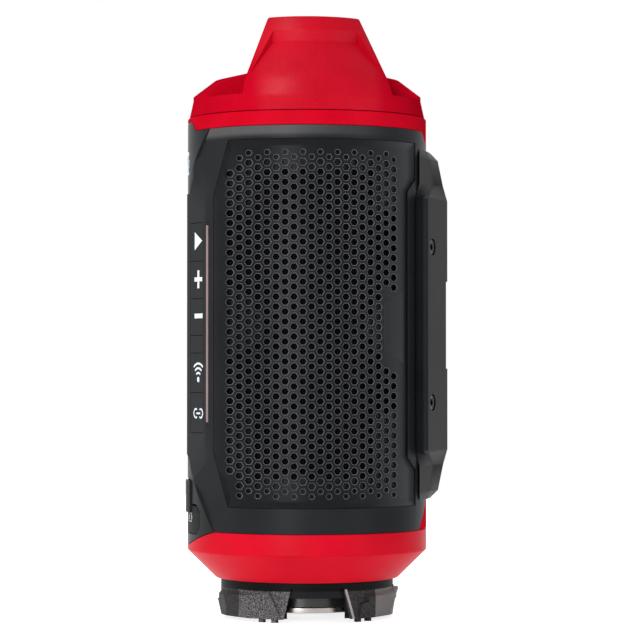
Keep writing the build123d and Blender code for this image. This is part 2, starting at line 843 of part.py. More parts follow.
def side_panel():
    panel = ring(body_r, skin_in, 0, tall) & sideways(panel_points, -far, 0, shrink=joint_gap)
    seat_r = body_r - cover_t - seat_gap
    pocket = sideways(cover_points, -far, 0, shrink=-cover_gap / 2)
    pocket += Pos(0, 0, cover_swing) * pocket
    panel -= pocket - disc(seat_r, 0, tall)
    tab_side = tab_half + cover_gap
    tab_pocket = block(-far, 0, -tab_side, tab_side, cover_top_z - 1, tab_top_z + cover_gap + tab_lift)
    panel -= tab_pocket - disc(body_r + tab_proud - tab_t - tab_lift, 0, tall)
    panel -= Pos(-body_r, 0, port_z) * Box(12, cover_plug_w + plug_space * 2, cover_plug_h + plug_space * 2)
    panel -= axial_x(power_ring_r + power_gap, -body_r - 1, -core_r)
    return panel


save("side_panel", side_panel())


# ------------------------------------------------------------------ power button
power_face_x = -body_r + power_sink
power_bore_r = power_ring_r - power_ring_t
power_ring = axial_x(power_ring_r, power_face_x, power_face_x + power_ring_depth)
power_ring -= axial_x(power_bore_r, power_face_x - 1, power_face_x + power_ring_depth + 1)
save("power_ring", power_ring)
power_button_r = power_bore_r - power_gap
power_flange_x = power_face_x + power_ring_depth + power_slot_gap
power_back_x = power_flange_x + power_flange_t
power_button = axial_x(power_button_r, power_face_x + 0.1, power_back_x)
power_button += axial_x(power_ring_r - power_slot_gap, power_flange_x, power_back_x)
save("power_button", power_button)
power_board_x = power_board_in - core_in
power_switch_x = power_back_x + power_travel + switch_clear
power_switch = axial_x(switch_stem_r, power_switch_x, power_switch_x + 1.6)
power_switch += Pos(power_switch_x + 1.2, 0, power_z) * Box(
    power_board_x - power_switch_x - 1.2, switch_w, switch_w, align=INWARDS
)
save("power_switch", power_switch)
power_board_w = 2 * math.sqrt((core_in - power_board_gap) ** 2 - power_board_x**2)
power_board = Pos(power_board_x, 0, power_z) * Box(board_t, power_board_w, power_board_h, align=INWARDS)
save("power_board", power_board)


# ------------------------------------------------------------------ keys and their board
def strip_box(mid_z, w, h, out, deep):
    """Box in the strip's frame, centred on the keys, between two depths."""
    return strip * Pos(key_s, mid_z, out) * Box(w, h, out - deep, align=DOWN)


def key(mid_z, h):
    """Key cap with side flanges that hold it behind the bezel."""
    cap = strip_box(mid_z, key_w, h, 0, key_under)
    return cap + strip_box(mid_z, key_w + key_flange_side * 2, h, -key_body_t, key_under)


def key_switch(mid_z):
    """Press switch under a key: its body and its round stem."""
    stem = strip * Pos(key_s, mid_z, switch_top) * Cylinder(switch_stem_r, 1.2, align=DOWN)
    return stem + strip_box(mid_z, switch_w, switch_w, switch_top - 0.8, switch_top - switch_h)


key_switches = []
edge_z = key_low_z
for name, height in key_stack:
    save(name, key(edge_z + height / 2, height))
    if name != "status_window":
        key_switches.append(key_switch(edge_z + height / 2))
    edge_z += height + key_gap
save("key_switches", group(key_switches))
board_top = switch_top - switch_h
board_h = key_span + key_board_end * 2
save("key_board", strip_box(key_mid_z, key_w - 1, board_h, board_top, board_top - board_t))


# ------------------------------------------------------------------ charging port
def port_cover():
    """Rubber cover with its pull tab and a short plug, hinged along its lower edge."""
    cover = ring(body_r, body_r - cover_t, 0, tall) & sideways(cover_points, -far, 0)
    tab = ring(body_r + tab_proud, body_r + tab_proud - tab_t, cover_top_z - tab_root, tab_top_z)
    cover += tab & block(-far, 0, -tab_half, tab_half, 0, tall)
    plug = Pos(-body_r + cover_t + cover_plug_t, 0, port_z) * Box(
        cover_plug_t + 0.5, cover_plug_w, cover_plug_h, align=(Align.MAX, Align.CENTER, Align.CENTER)
    )
    return cover + plug


save("port_cover", port_cover())
socket_x = -body_r + cover_t + cover_plug_t + 0.5
socket = Pos(socket_x, 0, port_z) * Box(port_depth, port_w, port_h, align=INWARDS)
mouth_w = port_w - port_wall * 2
mouth_h = port_h - port_wall * 2
socket -= Pos(socket_x - 1, 0, port_z) * Box(port_depth, mouth_w, mouth_h, align=INWARDS)
tongue = Pos(socket_x + 1, 0, port_z) * Box(port_depth - 2, mouth_w - 1.7, port_tongue_t, align=INWARDS)
save("charging_socket", group([socket, tongue]))
charge_top_z = port_z - port_h / 2
charge_low_z = charge_top_z - board_t
charge_end_x = -cell_side_x - cell_r - 0.8
charging_board = block(socket_x + 1, charge_end_x, -9.5, 5.4, charge_low_z, charge_top_z)
charging_board &= disc(core_in - 0.3, 0, tall)
charging_board += block(socket_x + 1, -core_in + 1, -port_w / 2, port_w / 2, charge_low_z, charge_top_z)
save("charging_board", charging_board)


# ------------------------------------------------------------------ foot bracket
def bracket_section(half_z, corners):
    """Closed plan outline of the bracket at a height above its middle."""
    half = [(body_r + out, y) for out, y in corners]
    points = half + [(x, -y) for x, y in reversed(half)]
    return Face(Wire.make_polygon([Vector(x, y, bracket_mid_z + half_z) for x, y in points]))


def bracket_half(sections):
    half = None
    for low, high in zip(sections, sections[1:]):
        piece = loft([low, high], ruled=True)
        half = piece if half is None else half + piece
    return half


def side_bracket():
    """Black foot, its thick middle tapering into two lobes; it carries the body lying on its side."""
    sections = [
        bracket_section(0, bracket_block),
        bracket_section(bracket_block_half_z, bracket_block),
        bracket_section(bracket_ridge_half_z, bracket_ridge),
        bracket_section(bracket_shoulder_half_z, bracket_shoulder),
        bracket_section(bracket_half_z, bracket_tip),
    ]
    upper = bracket_half(sections)
    bracket = upper + mirror(upper, about=Plane.XY.offset(bracket_mid_z))
    bracket -= disc(body_r + seat_gap, 0, tall)
    relief = Box(bracket_relief * 2, bracket_flat_half * 2 + 4, bracket_relief_half_z * 2)
    bracket -= Pos(bracket_flat_x, 0, bracket_mid_z) * relief
    for frame in bracket_screw_frames():
        bracket -= frame * screw_hole(case_screw, bracket_screw_length, seat=8.0)
    return bracket


save("side_bracket", side_bracket())
bracket_screw = screw(case_screw, bracket_screw_length)
save("bracket_screws", group(frame * bracket_screw for frame in bracket_screw_frames()))


# ------------------------------------------------------------------ foot ring
def claw_section(r, turns, z, thickness):
    front = [polar(r, a) for a in turns]
    back = [polar(r - thickness, a) for a in reversed(turns)]
    return Face(Wire.make_polygon([Vector(x, y, z) for x, y in front + back]))


def sector(start, end):
    """Wedge of the plan between two turns from the front."""
    points = [(0, 0)] + [polar(far, start + (end - start) * k / 4) for k in range(5)]
    return upright(points, 0, far)


def claw_shoulder(top_z, start, end):
    """Sloping shelf from the claw's lip back up to the neck."""
    out = neck_r + claw_top_out - 1.0
    inner_r = neck_r - 1.0
    low_z = claw_lip_z - 2.4
    profile = [(inner_r, low_z), (out, low_z), (out, claw_lip_z - 0.4), (neck_r + 0.2, top_z), (inner_r, top_z)]
    return turned(profile) & sector(start, end)


def claw(top_turns, low_turns, nub_turns):
    """Shield of three facets flaring outwards, its top edge a ramp, with a shoulder and two nubs."""
    shield = loft(
        [
            claw_section(claw_low_r, low_turns, claw_low_z, claw_t),
            claw_section(claw_top_r, top_turns, claw_top_z, claw_t),
        ],
        ruled=True,
    )
    ramp = [(-far, claw_ramp[0][1])] + list(claw_ramp) + [(far, claw_ramp[-1][1]), (far, 0), (-far, 0)]
    shield &= forwards(ramp, 0, far)
    web = claw_section(claw_low_r - 0.6, low_turns, claw_low_z, claw_low_r - neck_inner_r)
    shield += extrude(web, amount=claw_web_t, dir=(0, 0, 1))
    shield += claw_shoulder(claw_shoulder_low_z, top_turns[0] + 6, claw_shoulder_angle + 1)
    shield += claw_shoulder(claw_shoulder_z, claw_shoulder_angle, top_turns[3] - 1)
    for turn in nub_turns:
        place = polar(claw_low_r - nub_in, turn)
        shield += Pos(*place, 0) * Cylinder(nub_r, claw_low_z + 0.6, align=UP)
    return shield


def foot_ring():
    neck = ring(neck_r, neck_inner_r, claw_low_z, cap_bottom_z + neck_socket_h - seal_gap)
    plate = disc(neck_r - 1.5, ledge_z, neck_low_z)
    window_points = [
        (-window_low_half, claw_low_z - 1),
        (window_low_half, claw_low_z - 1),
        (window_top_half, neck_low_z),
        (-window_top_half, neck_low_z),
    ]
    window = forwards(window_points, neck_inner_r - 2, far)
    step = 360 / claw_count
    for k in range(claw_count):
        neck -= Rot(0, 0, step * k) * window
    foot = neck + plate
    foot += disc(8.0, neck_low_z - 0.5, cap_bottom_z)
    for k, shape in enumerate((claw_right, claw_rear, claw_left)):
        foot += Rot(0, 0, step * (k + 0.5)) * claw(*shape)
    boss_h = cap_bottom_z - seal_slack - (neck_low_z - 0.5)
    for turn in foot_screw_angles():
        place = polar(foot_screw_r, turn)
        foot += Pos(*place, neck_low_z - 0.5) * Cylinder(foot_boss_r, boss_h, align=UP)
        foot -= Pos(*place, 0) * Cylinder(small_screw[0] + screw_gap, far)
        foot -= Pos(*place, ledge_z) * Cylinder(small_screw[1] + head_sink, far, align=DOWN)
    foot -= Cylinder(magnet_bolt[0] + screw_gap, far)
    return foot


save("foot_ring", foot_ring())
save(
    "foot_ring_screws",
    group(
        Pos(*polar(foot_screw_r, turn), ledge_z) * Rot(180, 0, 0) * screw(small_screw, foot_screw_length)
        for turn in foot_screw_angles()
    ),
)


# ------------------------------------------------------------------ pot magnet
magnet_low_z = cup_low_z + magnet_sink
magnet_seat_z = magnet_low_z + 2.4
cup = turned(
    [
        (0, magnet_low_z),
        (magnet_bore_r - magnet_gap, magnet_low_z),
        (magnet_bore_r - magnet_gap, magnet_top_z),
        (cup_r - cup_wall, magnet_top_z),
        (cup_r - cup_wall, cup_low_z),
        (cup_r + cup_rim_w, cup_low_z),
        (cup_r + cup_rim_w, cup_low_z + cup_rim_t),
        (cup_r, cup_low_z + cup_rim_t),
        (cup_r, cup_top_z),
        (0, cup_top_z),
    ]
)
cup -= Cylinder(magnet_bolt[0] + screw_gap, far)
cup -= Pos(0, 0, magnet_seat_z) * Cylinder(magnet_bolt[1] + head_sink, far, align=DOWN)
save("magnet_cup", cup)
magnet_r = cup_r - cup_wall - magnet_gap
save("ring_magnet", ring(magnet_r, magnet_bore_r, magnet_low_z, magnet_top_z - seal_slack))
magnet_bolt_length = cap_bottom_z - magnet_seat_z - magnet_sink
save("magnet_screw", Pos(0, 0, magnet_seat_z) * Rot(180, 0, 0) * screw(magnet_bolt, magnet_bolt_length))


# ------------------------------------------------------------------ front baffle and drivers
def fitted_baffle(plate):
    """Plate trimmed to the inside of the housing and round the bracket's bosses."""
    plate &= disc(core_in - baffle_gap, 0, tall)
    for frame in bracket_screw_frames():
        plate -= bracket_boss(frame, baffle_gap * 2)
    return plate


def at_driver(z):
    """Frame on the front of the baffle, z forwards."""
    return Plane(origin=(0, -baffle_front, z), x_dir=(1, 0, 0), z_dir=(0, -1, 0))


def corner_places(half):
    return [(sx * half, sy * half) for sx in (1, -1) for sy in (1, -1)]


front_baffle = fitted_baffle(
    block(-far, far, -baffle_front, -baffle_front + baffle_t, baffle_low_z, baffle_top_z)
)
driver_screws = []
for driver_z in driver_centres_z:
    front_baffle -= at_driver(driver_z) * Cylinder(driver_mouth_r + basket_wall + seat_gap, 20)
    for x, y in corner_places(driver_screw_half):
        spot = at_driver(driver_z) * Pos(x, y, driver_flange_t)
        front_baffle -= spot * screw_hole(small_screw, 10.0)
        driver_screws.append(spot * screw(small_screw, driver_flange_t + baffle_t - head_sink))
save("front_baffle", front_baffle)
save("driver_screws", group(driver_screws))


def lathe(points):
    """Solid turned about the local z axis from (r, z) points."""
    face = Plane.XZ * make_face(Polyline(*points, close=True))
    return revolve(face, Axis.Z)


basket_back = -driver_depth + motor_h + 0.1
cone_r = driver_mouth_r - cone_edge


def driver_basket():
    square = fillet(Rectangle(driver_flange, driver_flange).vertices(), driver_flange_corner)
    flange = extrude(square, amount=driver_flange_t) - Cylinder(driver_mouth_r, 10)
    bowl = lathe(
        [
            (driver_mouth_r, 0.5),
            (driver_mouth_r + basket_wall, 0.5),
            (driver_mouth_r + basket_wall, -3.5),
            (motor_r, basket_back),
            (coil_r + 1.6, basket_back),
            (coil_r + 1.6, basket_back + basket_wall),
            (motor_r - 1.0, basket_back + basket_wall),
            (driver_mouth_r, -3.0),
        ]
    )
    vent = Pos(0, 0, -9.5) * Box(60, 9, 6)
    bowl -= vent
    bowl -= Rot(0, 0, 90) * vent
    basket = flange + bowl
    for x, y in corner_places(driver_screw_half):
        basket -= Pos(x, y, 0) * Cylinder(small_screw[0] + screw_gap, 10)
    return basket


def driver_surround():
    """Half-roll of rubber between the cone's rim and the basket's flange."""
    outer = driver_mouth_r - 0.05
    inner = cone_r - 0.8
    mid = (outer + inner) / 2 - 0.1
    roll = (outer - inner) / 2 - 0.7
    low = 0.6
    top = low * 2
    hollow = roll - low
    face = make_face(
        [
            *Polyline((outer, 0.4), (outer, top), (mid + roll, top)).edges(),
            *ThreePointArc((mid + roll, top), (mid, top + roll), (mid - roll, top)).edges(),
            *Polyline((mid - roll, top), (inner, top), (inner, low), (mid - hollow, low)).edges(),
            *ThreePointArc((mid - hollow, low), (mid, low + hollow), (mid + hollow, low)).edges(),
            *Polyline((mid + hollow, low), (mid + hollow, 0.4), (outer, 0.4)).edges(),
        ]
    )
    return revolve(Plane.XZ * face, Axis.Z)


def driver_cone():
    return lathe(
        [
            (cone_r - 0.85, 1.15),
            (cone_r - 0.85, 0.0),
            (coil_r + 0.1, cone_back),
            (coil_r + 0.1, cone_back + 0.8),
            (cone_r - 1.6, 0.4),
            (cone_r - 1.6, 1.15),
        ]
    )


def dust_cap():
    ball_r = coil_r * 1.5  # a shallow dome
    drop = math.sqrt(ball_r**2 - coil_r**2)
    dome = Pos(0, 0, cone_back + 1.0 - drop) * (Sphere(ball_r) - Sphere(ball_r - 0.6))
    return dome & (Pos(0, 0, cone_back + 1.0) * Cylinder(coil_r + 1, 20, align=UP))


def voice_coil():
    tube = Cylinder(coil_r, coil_h, align=DOWN) - Cylinder(coil_r - coil_wall, coil_h, align=DOWN)
    return Pos(0, 0, cone_back + 0.85) * tube


def driver_magnet():
    """Plate, ring magnet and back plate round the voice coil's gap, as one motor."""
    motor = Pos(0, 0, -driver_depth) * Cylinder(motor_r, motor_h, align=UP)
    gap = Cylinder(coil_r + 0.6, motor_h, align=UP) - Cylinder(coil_r - 1.0, motor_h, align=UP)
    return motor - Pos(0, 0, -driver_depth + motor_floor) * gap


for prefix, driver_z in zip(("lower", "upper"), driver_centres_z):
    frame = at_driver(driver_z)
    save(f"{prefix}_driver_basket", frame * driver_basket())
    save(f"{prefix}_driver_surround", frame * driver_surround())
    save(f"{prefix}_driver_cone", frame * driver_cone())
    save(f"{prefix}_driver_dust_cap", frame * dust_cap())
    save(f"{prefix}_driver_voice_coil", frame * voice_coil())
    save(f"{prefix}_driver_magnet", frame * driver_magnet())


# ------------------------------------------------------------------ rear baffle and passive radiator
rear_frame = Plane(origin=(0, baffle_front, radiator_z), x_dir=(-1, 0, 0), z_dir=(0, 1, 0))
board_mid_z = (main_board_low_z + main_board_top_z) / 2
board_screw_half_x = main_board_half - post_half - 0.6
board_screw_half_z = main_board_h / 2 - post_half - 0.6


def board_screw_places():
    return [
        (sx * board_screw_half_x, board_mid_z + sz * board_screw_half_z) for sx in (1, -1) for sz in (1, -1)
    ]


def back_frame(x, z, back):
    """Frame facing the front, at a distance behind the axis."""
    return Plane(origin=(x, back, z), x_dir=(1, 0, 0), z_dir=(0, -1, 0))


def rear_baffle():
    face_back = baffle_front - baffle_t
    plate = block(-far, far, face_back, baffle_front, rear_shelf_z, baffle_top_z)
    plate += block(-far, far, face_back, far, rear_shelf_z, rear_shelf_z + rear_shelf_t)
    plate = fitted_baffle(plate)
    plate -= rear_frame * Cylinder(radiator_r + 0.1, 20)
    for x, z in board_screw_places():
        post_front = main_board_back + main_board_t
        plate += block(
            x - post_half, x + post_half, post_front, face_back + 0.5, z - post_half, z + post_half
        )
        hole = Cylinder(small_screw[0] + screw_gap, board_screw_length + 0.4, align=DOWN)
        plate -= back_frame(x, z, main_board_back) * hole
    return plate


save("rear_baffle", rear_baffle())
radiator_in = radiator_r - radiator_edge
radiator_surround = rear_frame * lathe(
    [
        (radiator_r, 0),
        (radiator_r, -1.0),
        (radiator_r - 1.5, -1.0),
        (radiator_r - 2.5, 1.6),
        (radiator_in + 2.5, 1.6),
        (radiator_in + 1.5, -1.0),
        (radiator_in, -1.0),
        (radiator_in, 0),
        (radiator_in + 1.0, 0),
        (radiator_in + 2.0, 2.4),
        (radiator_r - 2.0, 2.4),
        (radiator_r - 1.0, 0),
    ]
)
save("radiator_surround", radiator_surround)
radiator_plate = rear_frame * Cylinder(radiator_r - radiator_edge - seal_slack, 1.2, align=DOWN)
radiator_plate += rear_frame * Pos(0, 0, -1.2) * Cylinder(radiator_edge, 2.6, align=DOWN)
save("radiator_plate", radiator_plate)

# ------------------------------------------------------------------ main board
main_board = Pos(0, main_board_back + main_board_t / 2, main_board_low_z) * Box(
    main_board_half * 2, main_board_t, main_board_h, align=UP
)
for x, z in board_screw_places():
    main_board -= back_frame(x, z, main_board_back) * Cylinder(small_screw[0] + screw_gap, 10)
save("main_board", main_board)
save(
    "main_board_screws",
    group(
        back_frame(x, z, main_board_back) * screw(small_screw, board_screw_length)
        for x, z in board_screw_places()
    ),
)


def board_part(x, rise, w, h, t):
    """Flat component on the board's front, rise above the board's middle."""
    return Pos(x, main_board_back - t / 2, board_mid_z + rise) * Box(w, t, h)


def capacitor(x):
    return Pos(x, main_board_back, board_mid_z - 25) * Rot(90, 0, 0) * Cylinder(3.0, 5.5, align=UP)


radio_module = board_part(-14, 23, 12, 12, 1.2)
controller = board_part(10, 25, 7, 7, 1.0)
amplifier = board_part(18, 15, 8, 5, 1.6)
inductor = board_part(-18, 7, 6, 9, 3.0)
speaker_plug = board_part(15, -19, 10, 6, 3.5)
battery_plug = board_part(-15, -19, 12, 5, 3.5)
save(
    "main_board_parts",
    group(
        [radio_module, controller, amplifier, inductor, speaker_plug, battery_plug]
        + [capacitor(-6), capacitor(2)]
    ),
)

# ------------------------------------------------------------------ battery
cell_places = [
    (-cell_side_x, cell_side_back),
    (0, cell_mid_back),
    (cell_side_x, cell_side_back),
]


def cell_plate(z0, z1):
    side = cell_side_x + cell_r + cell_wall
    back = cell_mid_back + cell_r + cell_wall
    points = [
        (side, cell_side_back - cell_r),
        (side, cell_side_back + cell_r),
        (cell_r + cell_wall, back),
    ]
    return upright(mirrored(points), z0, z1) & disc(core_in - seat_gap, z0, z1)


def cell_tray():
    tray = cell_plate(floor_top_z, floor_top_z + tray_h)
    for x, y in cell_places:
        tray -= Pos(x, y, cell_low_z) * Cylinder(cell_r + cell_gap, tray_h, align=UP)
    return tray


def cell_clip():
    roof_z = cell_top_z + clip_roof
    clip = cell_plate(roof_z - tray_h, roof_z)
    for x, y in cell_places:
        clip -= Pos(x, y, cell_top_z) * Cylinder(cell_r + cell_gap, tray_h, align=DOWN)
    return clip


save("battery_tray", cell_tray())
save("battery_clip", cell_clip())
cell = Cylinder(cell_r, cell_h, align=UP)
save("battery_cells", group(Pos(x, y, cell_low_z) * cell for x, y in cell_places))
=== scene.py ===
import math

import bmesh
import bpy
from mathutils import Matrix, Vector


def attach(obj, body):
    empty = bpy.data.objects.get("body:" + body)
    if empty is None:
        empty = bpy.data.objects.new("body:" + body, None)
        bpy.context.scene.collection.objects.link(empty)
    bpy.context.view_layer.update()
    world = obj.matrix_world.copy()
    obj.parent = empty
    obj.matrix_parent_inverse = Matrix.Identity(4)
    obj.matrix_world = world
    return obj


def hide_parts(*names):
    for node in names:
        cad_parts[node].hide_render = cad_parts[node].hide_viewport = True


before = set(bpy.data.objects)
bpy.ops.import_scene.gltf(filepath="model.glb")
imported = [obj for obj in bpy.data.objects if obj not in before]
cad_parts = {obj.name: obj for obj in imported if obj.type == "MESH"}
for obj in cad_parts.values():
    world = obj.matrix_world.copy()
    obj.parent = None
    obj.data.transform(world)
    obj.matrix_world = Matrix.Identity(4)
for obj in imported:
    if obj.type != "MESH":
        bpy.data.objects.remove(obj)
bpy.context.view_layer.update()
mm = 0.001

# ---------------------------------------------------------------- the view
# A long lens looks almost level at the drum's middle from a metre away. It stands a little to the
# left of the drum's front.
view_turn = math.radians(7.0)
view_distance = 1000 * mm
view_height = 94.3 * mm
view_aim_side = 2.96 * mm
view_aim_height = 110.9 * mm
film_width = 36
focal_length = 154.6
towards_camera = Vector((-math.sin(view_turn), -math.cos(view_turn), 0))
view_right = Vector((math.cos(view_turn), -math.sin(view_turn), 0))
camera_lens = bpy.data.cameras.new("camera")
camera_lens.sensor_width = film_width
camera_lens.lens = focal_length
camera = bpy.data.objects.new("camera", camera_lens)
bpy.context.scene.collection.objects.link(camera)
camera.location = towards_camera * view_distance + Vector((0, 0, view_height))
aim = view_right * view_aim_side + Vector((0, 0, view_aim_height))
camera.rotation_mode = "QUATERNION"
camera.rotation_quaternion = (aim - camera.location).to_track_quat("-Z", "Y")
bpy.context.scene.camera = camera


# ---------------------------------------------------------------- the studio
# A white table top inside a white surround, lit by five soft boxes. Both show plain white to the
# camera and in reflections, and light the drum only as much as a pale room does.
class Shade:
    """A socket of a material that arithmetic joins to numbers and to other sockets."""

    def __init__(self, tree, socket=None):
        self.tree = tree
        self.socket = socket

    def node(self, kind, settings=None, values=None, output=0):
        made = self.tree.nodes.new("ShaderNode" + kind)
        for name, value in (settings or {}).items():
            setattr(made, name, value)
        for name, value in (values or {}).items():
            if isinstance(value, Shade):
                self.tree.links.new(value.socket, made.inputs[name])
            else:
                made.inputs[name].default_value = value
        return Shade(self.tree, made.outputs[output] if made.outputs else None)

    def maths(self, operation, *numbers):
        return self.node("Math", {"operation": operation}, dict(enumerate(numbers)))

    def __add__(self, other):
        return self.maths("ADD", self, other)

    def __radd__(self, other):
        return self.maths("ADD", other, self)

    def __sub__(self, other):
        return self.maths("SUBTRACT", self, other)

    def __rsub__(self, other):
        return self.maths("SUBTRACT", other, self)

    def __mul__(self, other):
        return self.maths("MULTIPLY", self, other)

    def __pow__(self, other):
        return self.maths("POWER", self, other)

    def __gt__(self, other):
        return self.maths("GREATER_THAN", self, other)

    def __lt__(self, other):
        return self.maths("LESS_THAN", self, other)

    def larger(self, other):
        return self.maths("MAXIMUM", self, other)

    def step(self, low, high):
        """0 below low, 1 above high and smooth between."""
        settings = {"interpolation_type": "SMOOTHSTEP"}
        return self.node("MapRange", settings, {"Value": self, "From Min": low, "From Max": high})

    def tint(self, colour_0, colour_1):
        """Colour that goes from colour_0 to colour_1 with this value."""
        mixed = self.tree.nodes.new("ShaderNodeMix")
        mixed.data_type = "RGBA"
        self.tree.links.new(self.socket, mixed.inputs[0])
        first_colour, second_colour, colour_result = 6, 7, 2
        for place, colour in ((first_colour, colour_0), (second_colour, colour_1)):
            if isinstance(colour, Shade):
                self.tree.links.new(colour.socket, mixed.inputs[place])
            else:
                mixed.inputs[place].default_value = (*colour, 1)
        return Shade(self.tree, mixed.outputs[colour_result])


def start_tree(holder):
    """Empty node tree of a material or world."""
    holder.use_nodes = True
    holder.node_tree.nodes.clear()
    return Shade(holder.node_tree)


def seen_white(paint):
    """1 for what the camera, a reflection or glass sees, 0 for light that falls on the drum."""
    rays = paint.node("LightPath").socket.node.outputs
    kinds = ("Is Camera Ray", "Is Glossy Ray", "Is Transmission Ray")
    eye, mirror, glass = (Shade(paint.tree, rays[kind]) for kind in kinds)
    return eye.larger(mirror).larger(glass)


lamp_aim = Vector((0, 0, 110 * mm))


def soft_box(name, turn, height, distance, width, tall, power):
    """Rectangular lamp, in metres and watts, turn degrees round from the drum's front towards +X."""
    lamp_data = bpy.data.lights.new(name, "AREA")
    lamp_data.shape = "RECTANGLE"
    lamp_data.size = width
    lamp_data.size_y = tall
    lamp_data.energy = power
    lamp = bpy.data.objects.new(name, lamp_data)
    turn = math.radians(turn)
    lamp.location = (distance * math.sin(turn), -distance * math.cos(turn), height)
    lamp.rotation_mode = "QUATERNION"
    lamp.rotation_quaternion = (lamp_aim - lamp.location).to_track_quat("-Z", "Y")
    bpy.context.scene.collection.objects.link(lamp)


soft_box("high_left_box", turn=-46, height=0.95, distance=0.60, width=0.16, tall=0.16, power=4.0)
soft_box("front_box", turn=-26, height=0.16, distance=1.3, width=0.5, tall=0.25, power=7.5)
soft_box("left_box", turn=-85, height=0.30, distance=1.1, width=0.2, tall=0.7, power=1.0)
soft_box("right_box", turn=46, height=0.25, distance=1.1, width=0.3, tall=0.6, power=2.2)
soft_box("back_box", turn=178, height=0.7, distance=1.2, width=0.8, tall=0.8, power=8)

bpy.context.scene.view_settings.view_transform = "Standard"
room_colour = (0.88, 0.91, 0.96, 1)
room_strength = 0.36
white = (1, 1, 1, 1)
world = bpy.data.worlds.new("surround")
bpy.context.scene.world = world
paint = start_tree(world)
room = paint.node("Background", {}, {"Color": room_colour, "Strength": room_strength})
backdrop = paint.node("Background", {}, {"Color": white, "Strength": 1.0})
surround = paint.node("MixShader", {}, {0: seen_white(paint), 1: room, 2: backdrop})
paint.node("OutputWorld", {}, {0: surround})

table_r = 0.9
table_grey = (0.8, 0.8, 0.8, 1)
table_glow = 0.36
table_white_glow = 0.42
table_mesh = bpy.data.meshes.new("table")
turns = [math.radians(a) for a in range(0, 360, 6)]
rim = [(table_r * math.cos(a), table_r * math.sin(a), 0) for a in turns]
table_mesh.from_pydata(rim, [], [tuple(range(len(rim)))])
table = bpy.data.objects.new("table", table_mesh)
bpy.context.scene.collection.objects.link(table)
table_paint = bpy.data.materials.new("table_top")
paint = start_tree(table_paint)
lit = paint.node("BsdfDiffuse", {}, {"Color": table_grey})
glow = paint.node("Emission", {}, {"Strength": table_glow + seen_white(paint) * table_white_glow})
paint.node("OutputMaterial", {}, {0: paint.node("AddShader", {}, {0: lit, 1: glow})})
table_mesh.materials.append(table_paint)


# ---------------------------------------------------------------- housing
# The red core of the drum: collar, right-hand spine and inner tube, moulded in one in filled nylon.
# Its skin is finely spark-eroded, with a soft satin sheen, and its outer edges are eased.
object_place = 3  # the coordinate node's output of places on the object
cloud_scale = 45.0
cloud_share = 0.7
fine_share = 0.3
mottling_range = (0.3, 0.7)
speck_scale = 900.0
speck_range = (0.62, 0.8)
cloud_gloss = 0.12
fine_gloss = 0.18
speck_gloss = 0.3
grain_height = 0.05
weld_gap = 0.02
flat_angle = 0.3
edge_angle = 28
edge_steps = 3


def noise(paint, place, scale, detail):
    """Even mottling with scale cells to the metre."""
    return paint.node("TexNoise", {}, {"Vector": place, "Scale": scale, "Detail": detail})


def finish(name, colour, roughness, grain=0.0, grain_size=0.35, worn=0.0, where=None, **constants):
    """Material with a mottled colour, uneven gloss and a fine moulded grain. Sizes in millimetres.

    A function given as where changes some of its values on a part of the piece. It takes the tree,
    the place on the piece, the mottled colour and the grain, and returns the changed values.
    """
    made = bpy.data.materials.new(name)
    paint = start_tree(made)
    place = paint.node("TexCoord", {}, {}, object_place)
    fine = noise(paint, place, 1000 / grain_size, 2.0)
    cloud = noise(paint, place, cloud_scale, 4.0)
    specks = noise(paint, place, speck_scale, 3.0).step(*speck_range)
    dark = tuple(c * 0.90 for c in colour)
    light = tuple(min(1.0, c * 1.08 + 0.002) for c in colour)
    dusty = tuple(c * 0.8 + 0.05 for c in colour)
    mottling = (cloud * cloud_share + fine * fine_share).step(*mottling_range)
    shade = (specks * worn).tint(mottling.tint(dark, light), dusty)
    gloss = roughness + (cloud - 0.5) * cloud_gloss + (fine - 0.5) * fine_gloss
    gloss = gloss + specks * worn * speck_gloss
    values = {"Base Color": shade, "Roughness": gloss}
    if where:
        values |= where(paint, place, shade, fine)
    if grain:
        bump = {"Height": fine, "Strength": grain, "Distance": grain_height * mm}
        values["Normal"] = paint.node("Bump", {}, bump)
    surface = paint.node("BsdfPrincipled", {}, values | constants)
    paint.node("OutputMaterial", {}, {0: surface})
    return made


def dress(material, *nodes):
    """Give CAD nodes one material, in the slots they have."""
    for node in nodes:
        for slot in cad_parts[node].material_slots:
            slot.material = material


def ease(node, width, clamp=False):
    """Round the sharp edges of a CAD node with modifiers. Clamped, narrow faces round off less."""
    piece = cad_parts[node]
    weld = piece.modifiers.new("weld", "WELD")
    weld.merge_threshold = weld_gap * mm
    flat = piece.modifiers.new("flat", "DECIMATE")
    flat.decimate_type = "DISSOLVE"
    flat.angle_limit = math.radians(flat_angle)
    round_off = piece.modifiers.new("round", "BEVEL")
    round_off.width = width * mm
    round_off.segments = edge_steps
    round_off.limit_method = "ANGLE"
    round_off.angle_limit = math.radians(edge_angle)
    round_off.use_clamp_overlap = clamp
    even = piece.modifiers.new("even", "WEIGHTED_NORMAL")
    even.keep_sharp = True
    for face in piece.data.polygons:
        face.use_smooth = True


red_sheen = {"Specular IOR Level": 0.0, "Coat Weight": 0.02, "Coat Roughness": 0.4}
red_grain = {"grain": 0.45, "grain_size": 0.4, "worn": 0.03}
red = finish("red_nylon", (0.55, 0.0012, 0.0135), 0.36, **red_grain, **red_sheen)
dress(red, "housing")
ease("housing", 0.35)

# ---------------------------------------------------------------- bottom cap
# The red foot of the drum, with its long chamfer, moulded in filled nylon like the housing. It is
# screwed up into the housing's floor over a seal.
cap_sheen = {"Specular IOR Level": 0.05}
# The cap's red is painted a little lighter than the housing's, as painted light from below on its chamfer.
cap_red = finish("cap_nylon", (0.58, 0.0013, 0.0145), 0.38, **red_grain, **cap_sheen)
dress(cap_red, "bottom_cap")
ease("bottom_cap", 0.35)

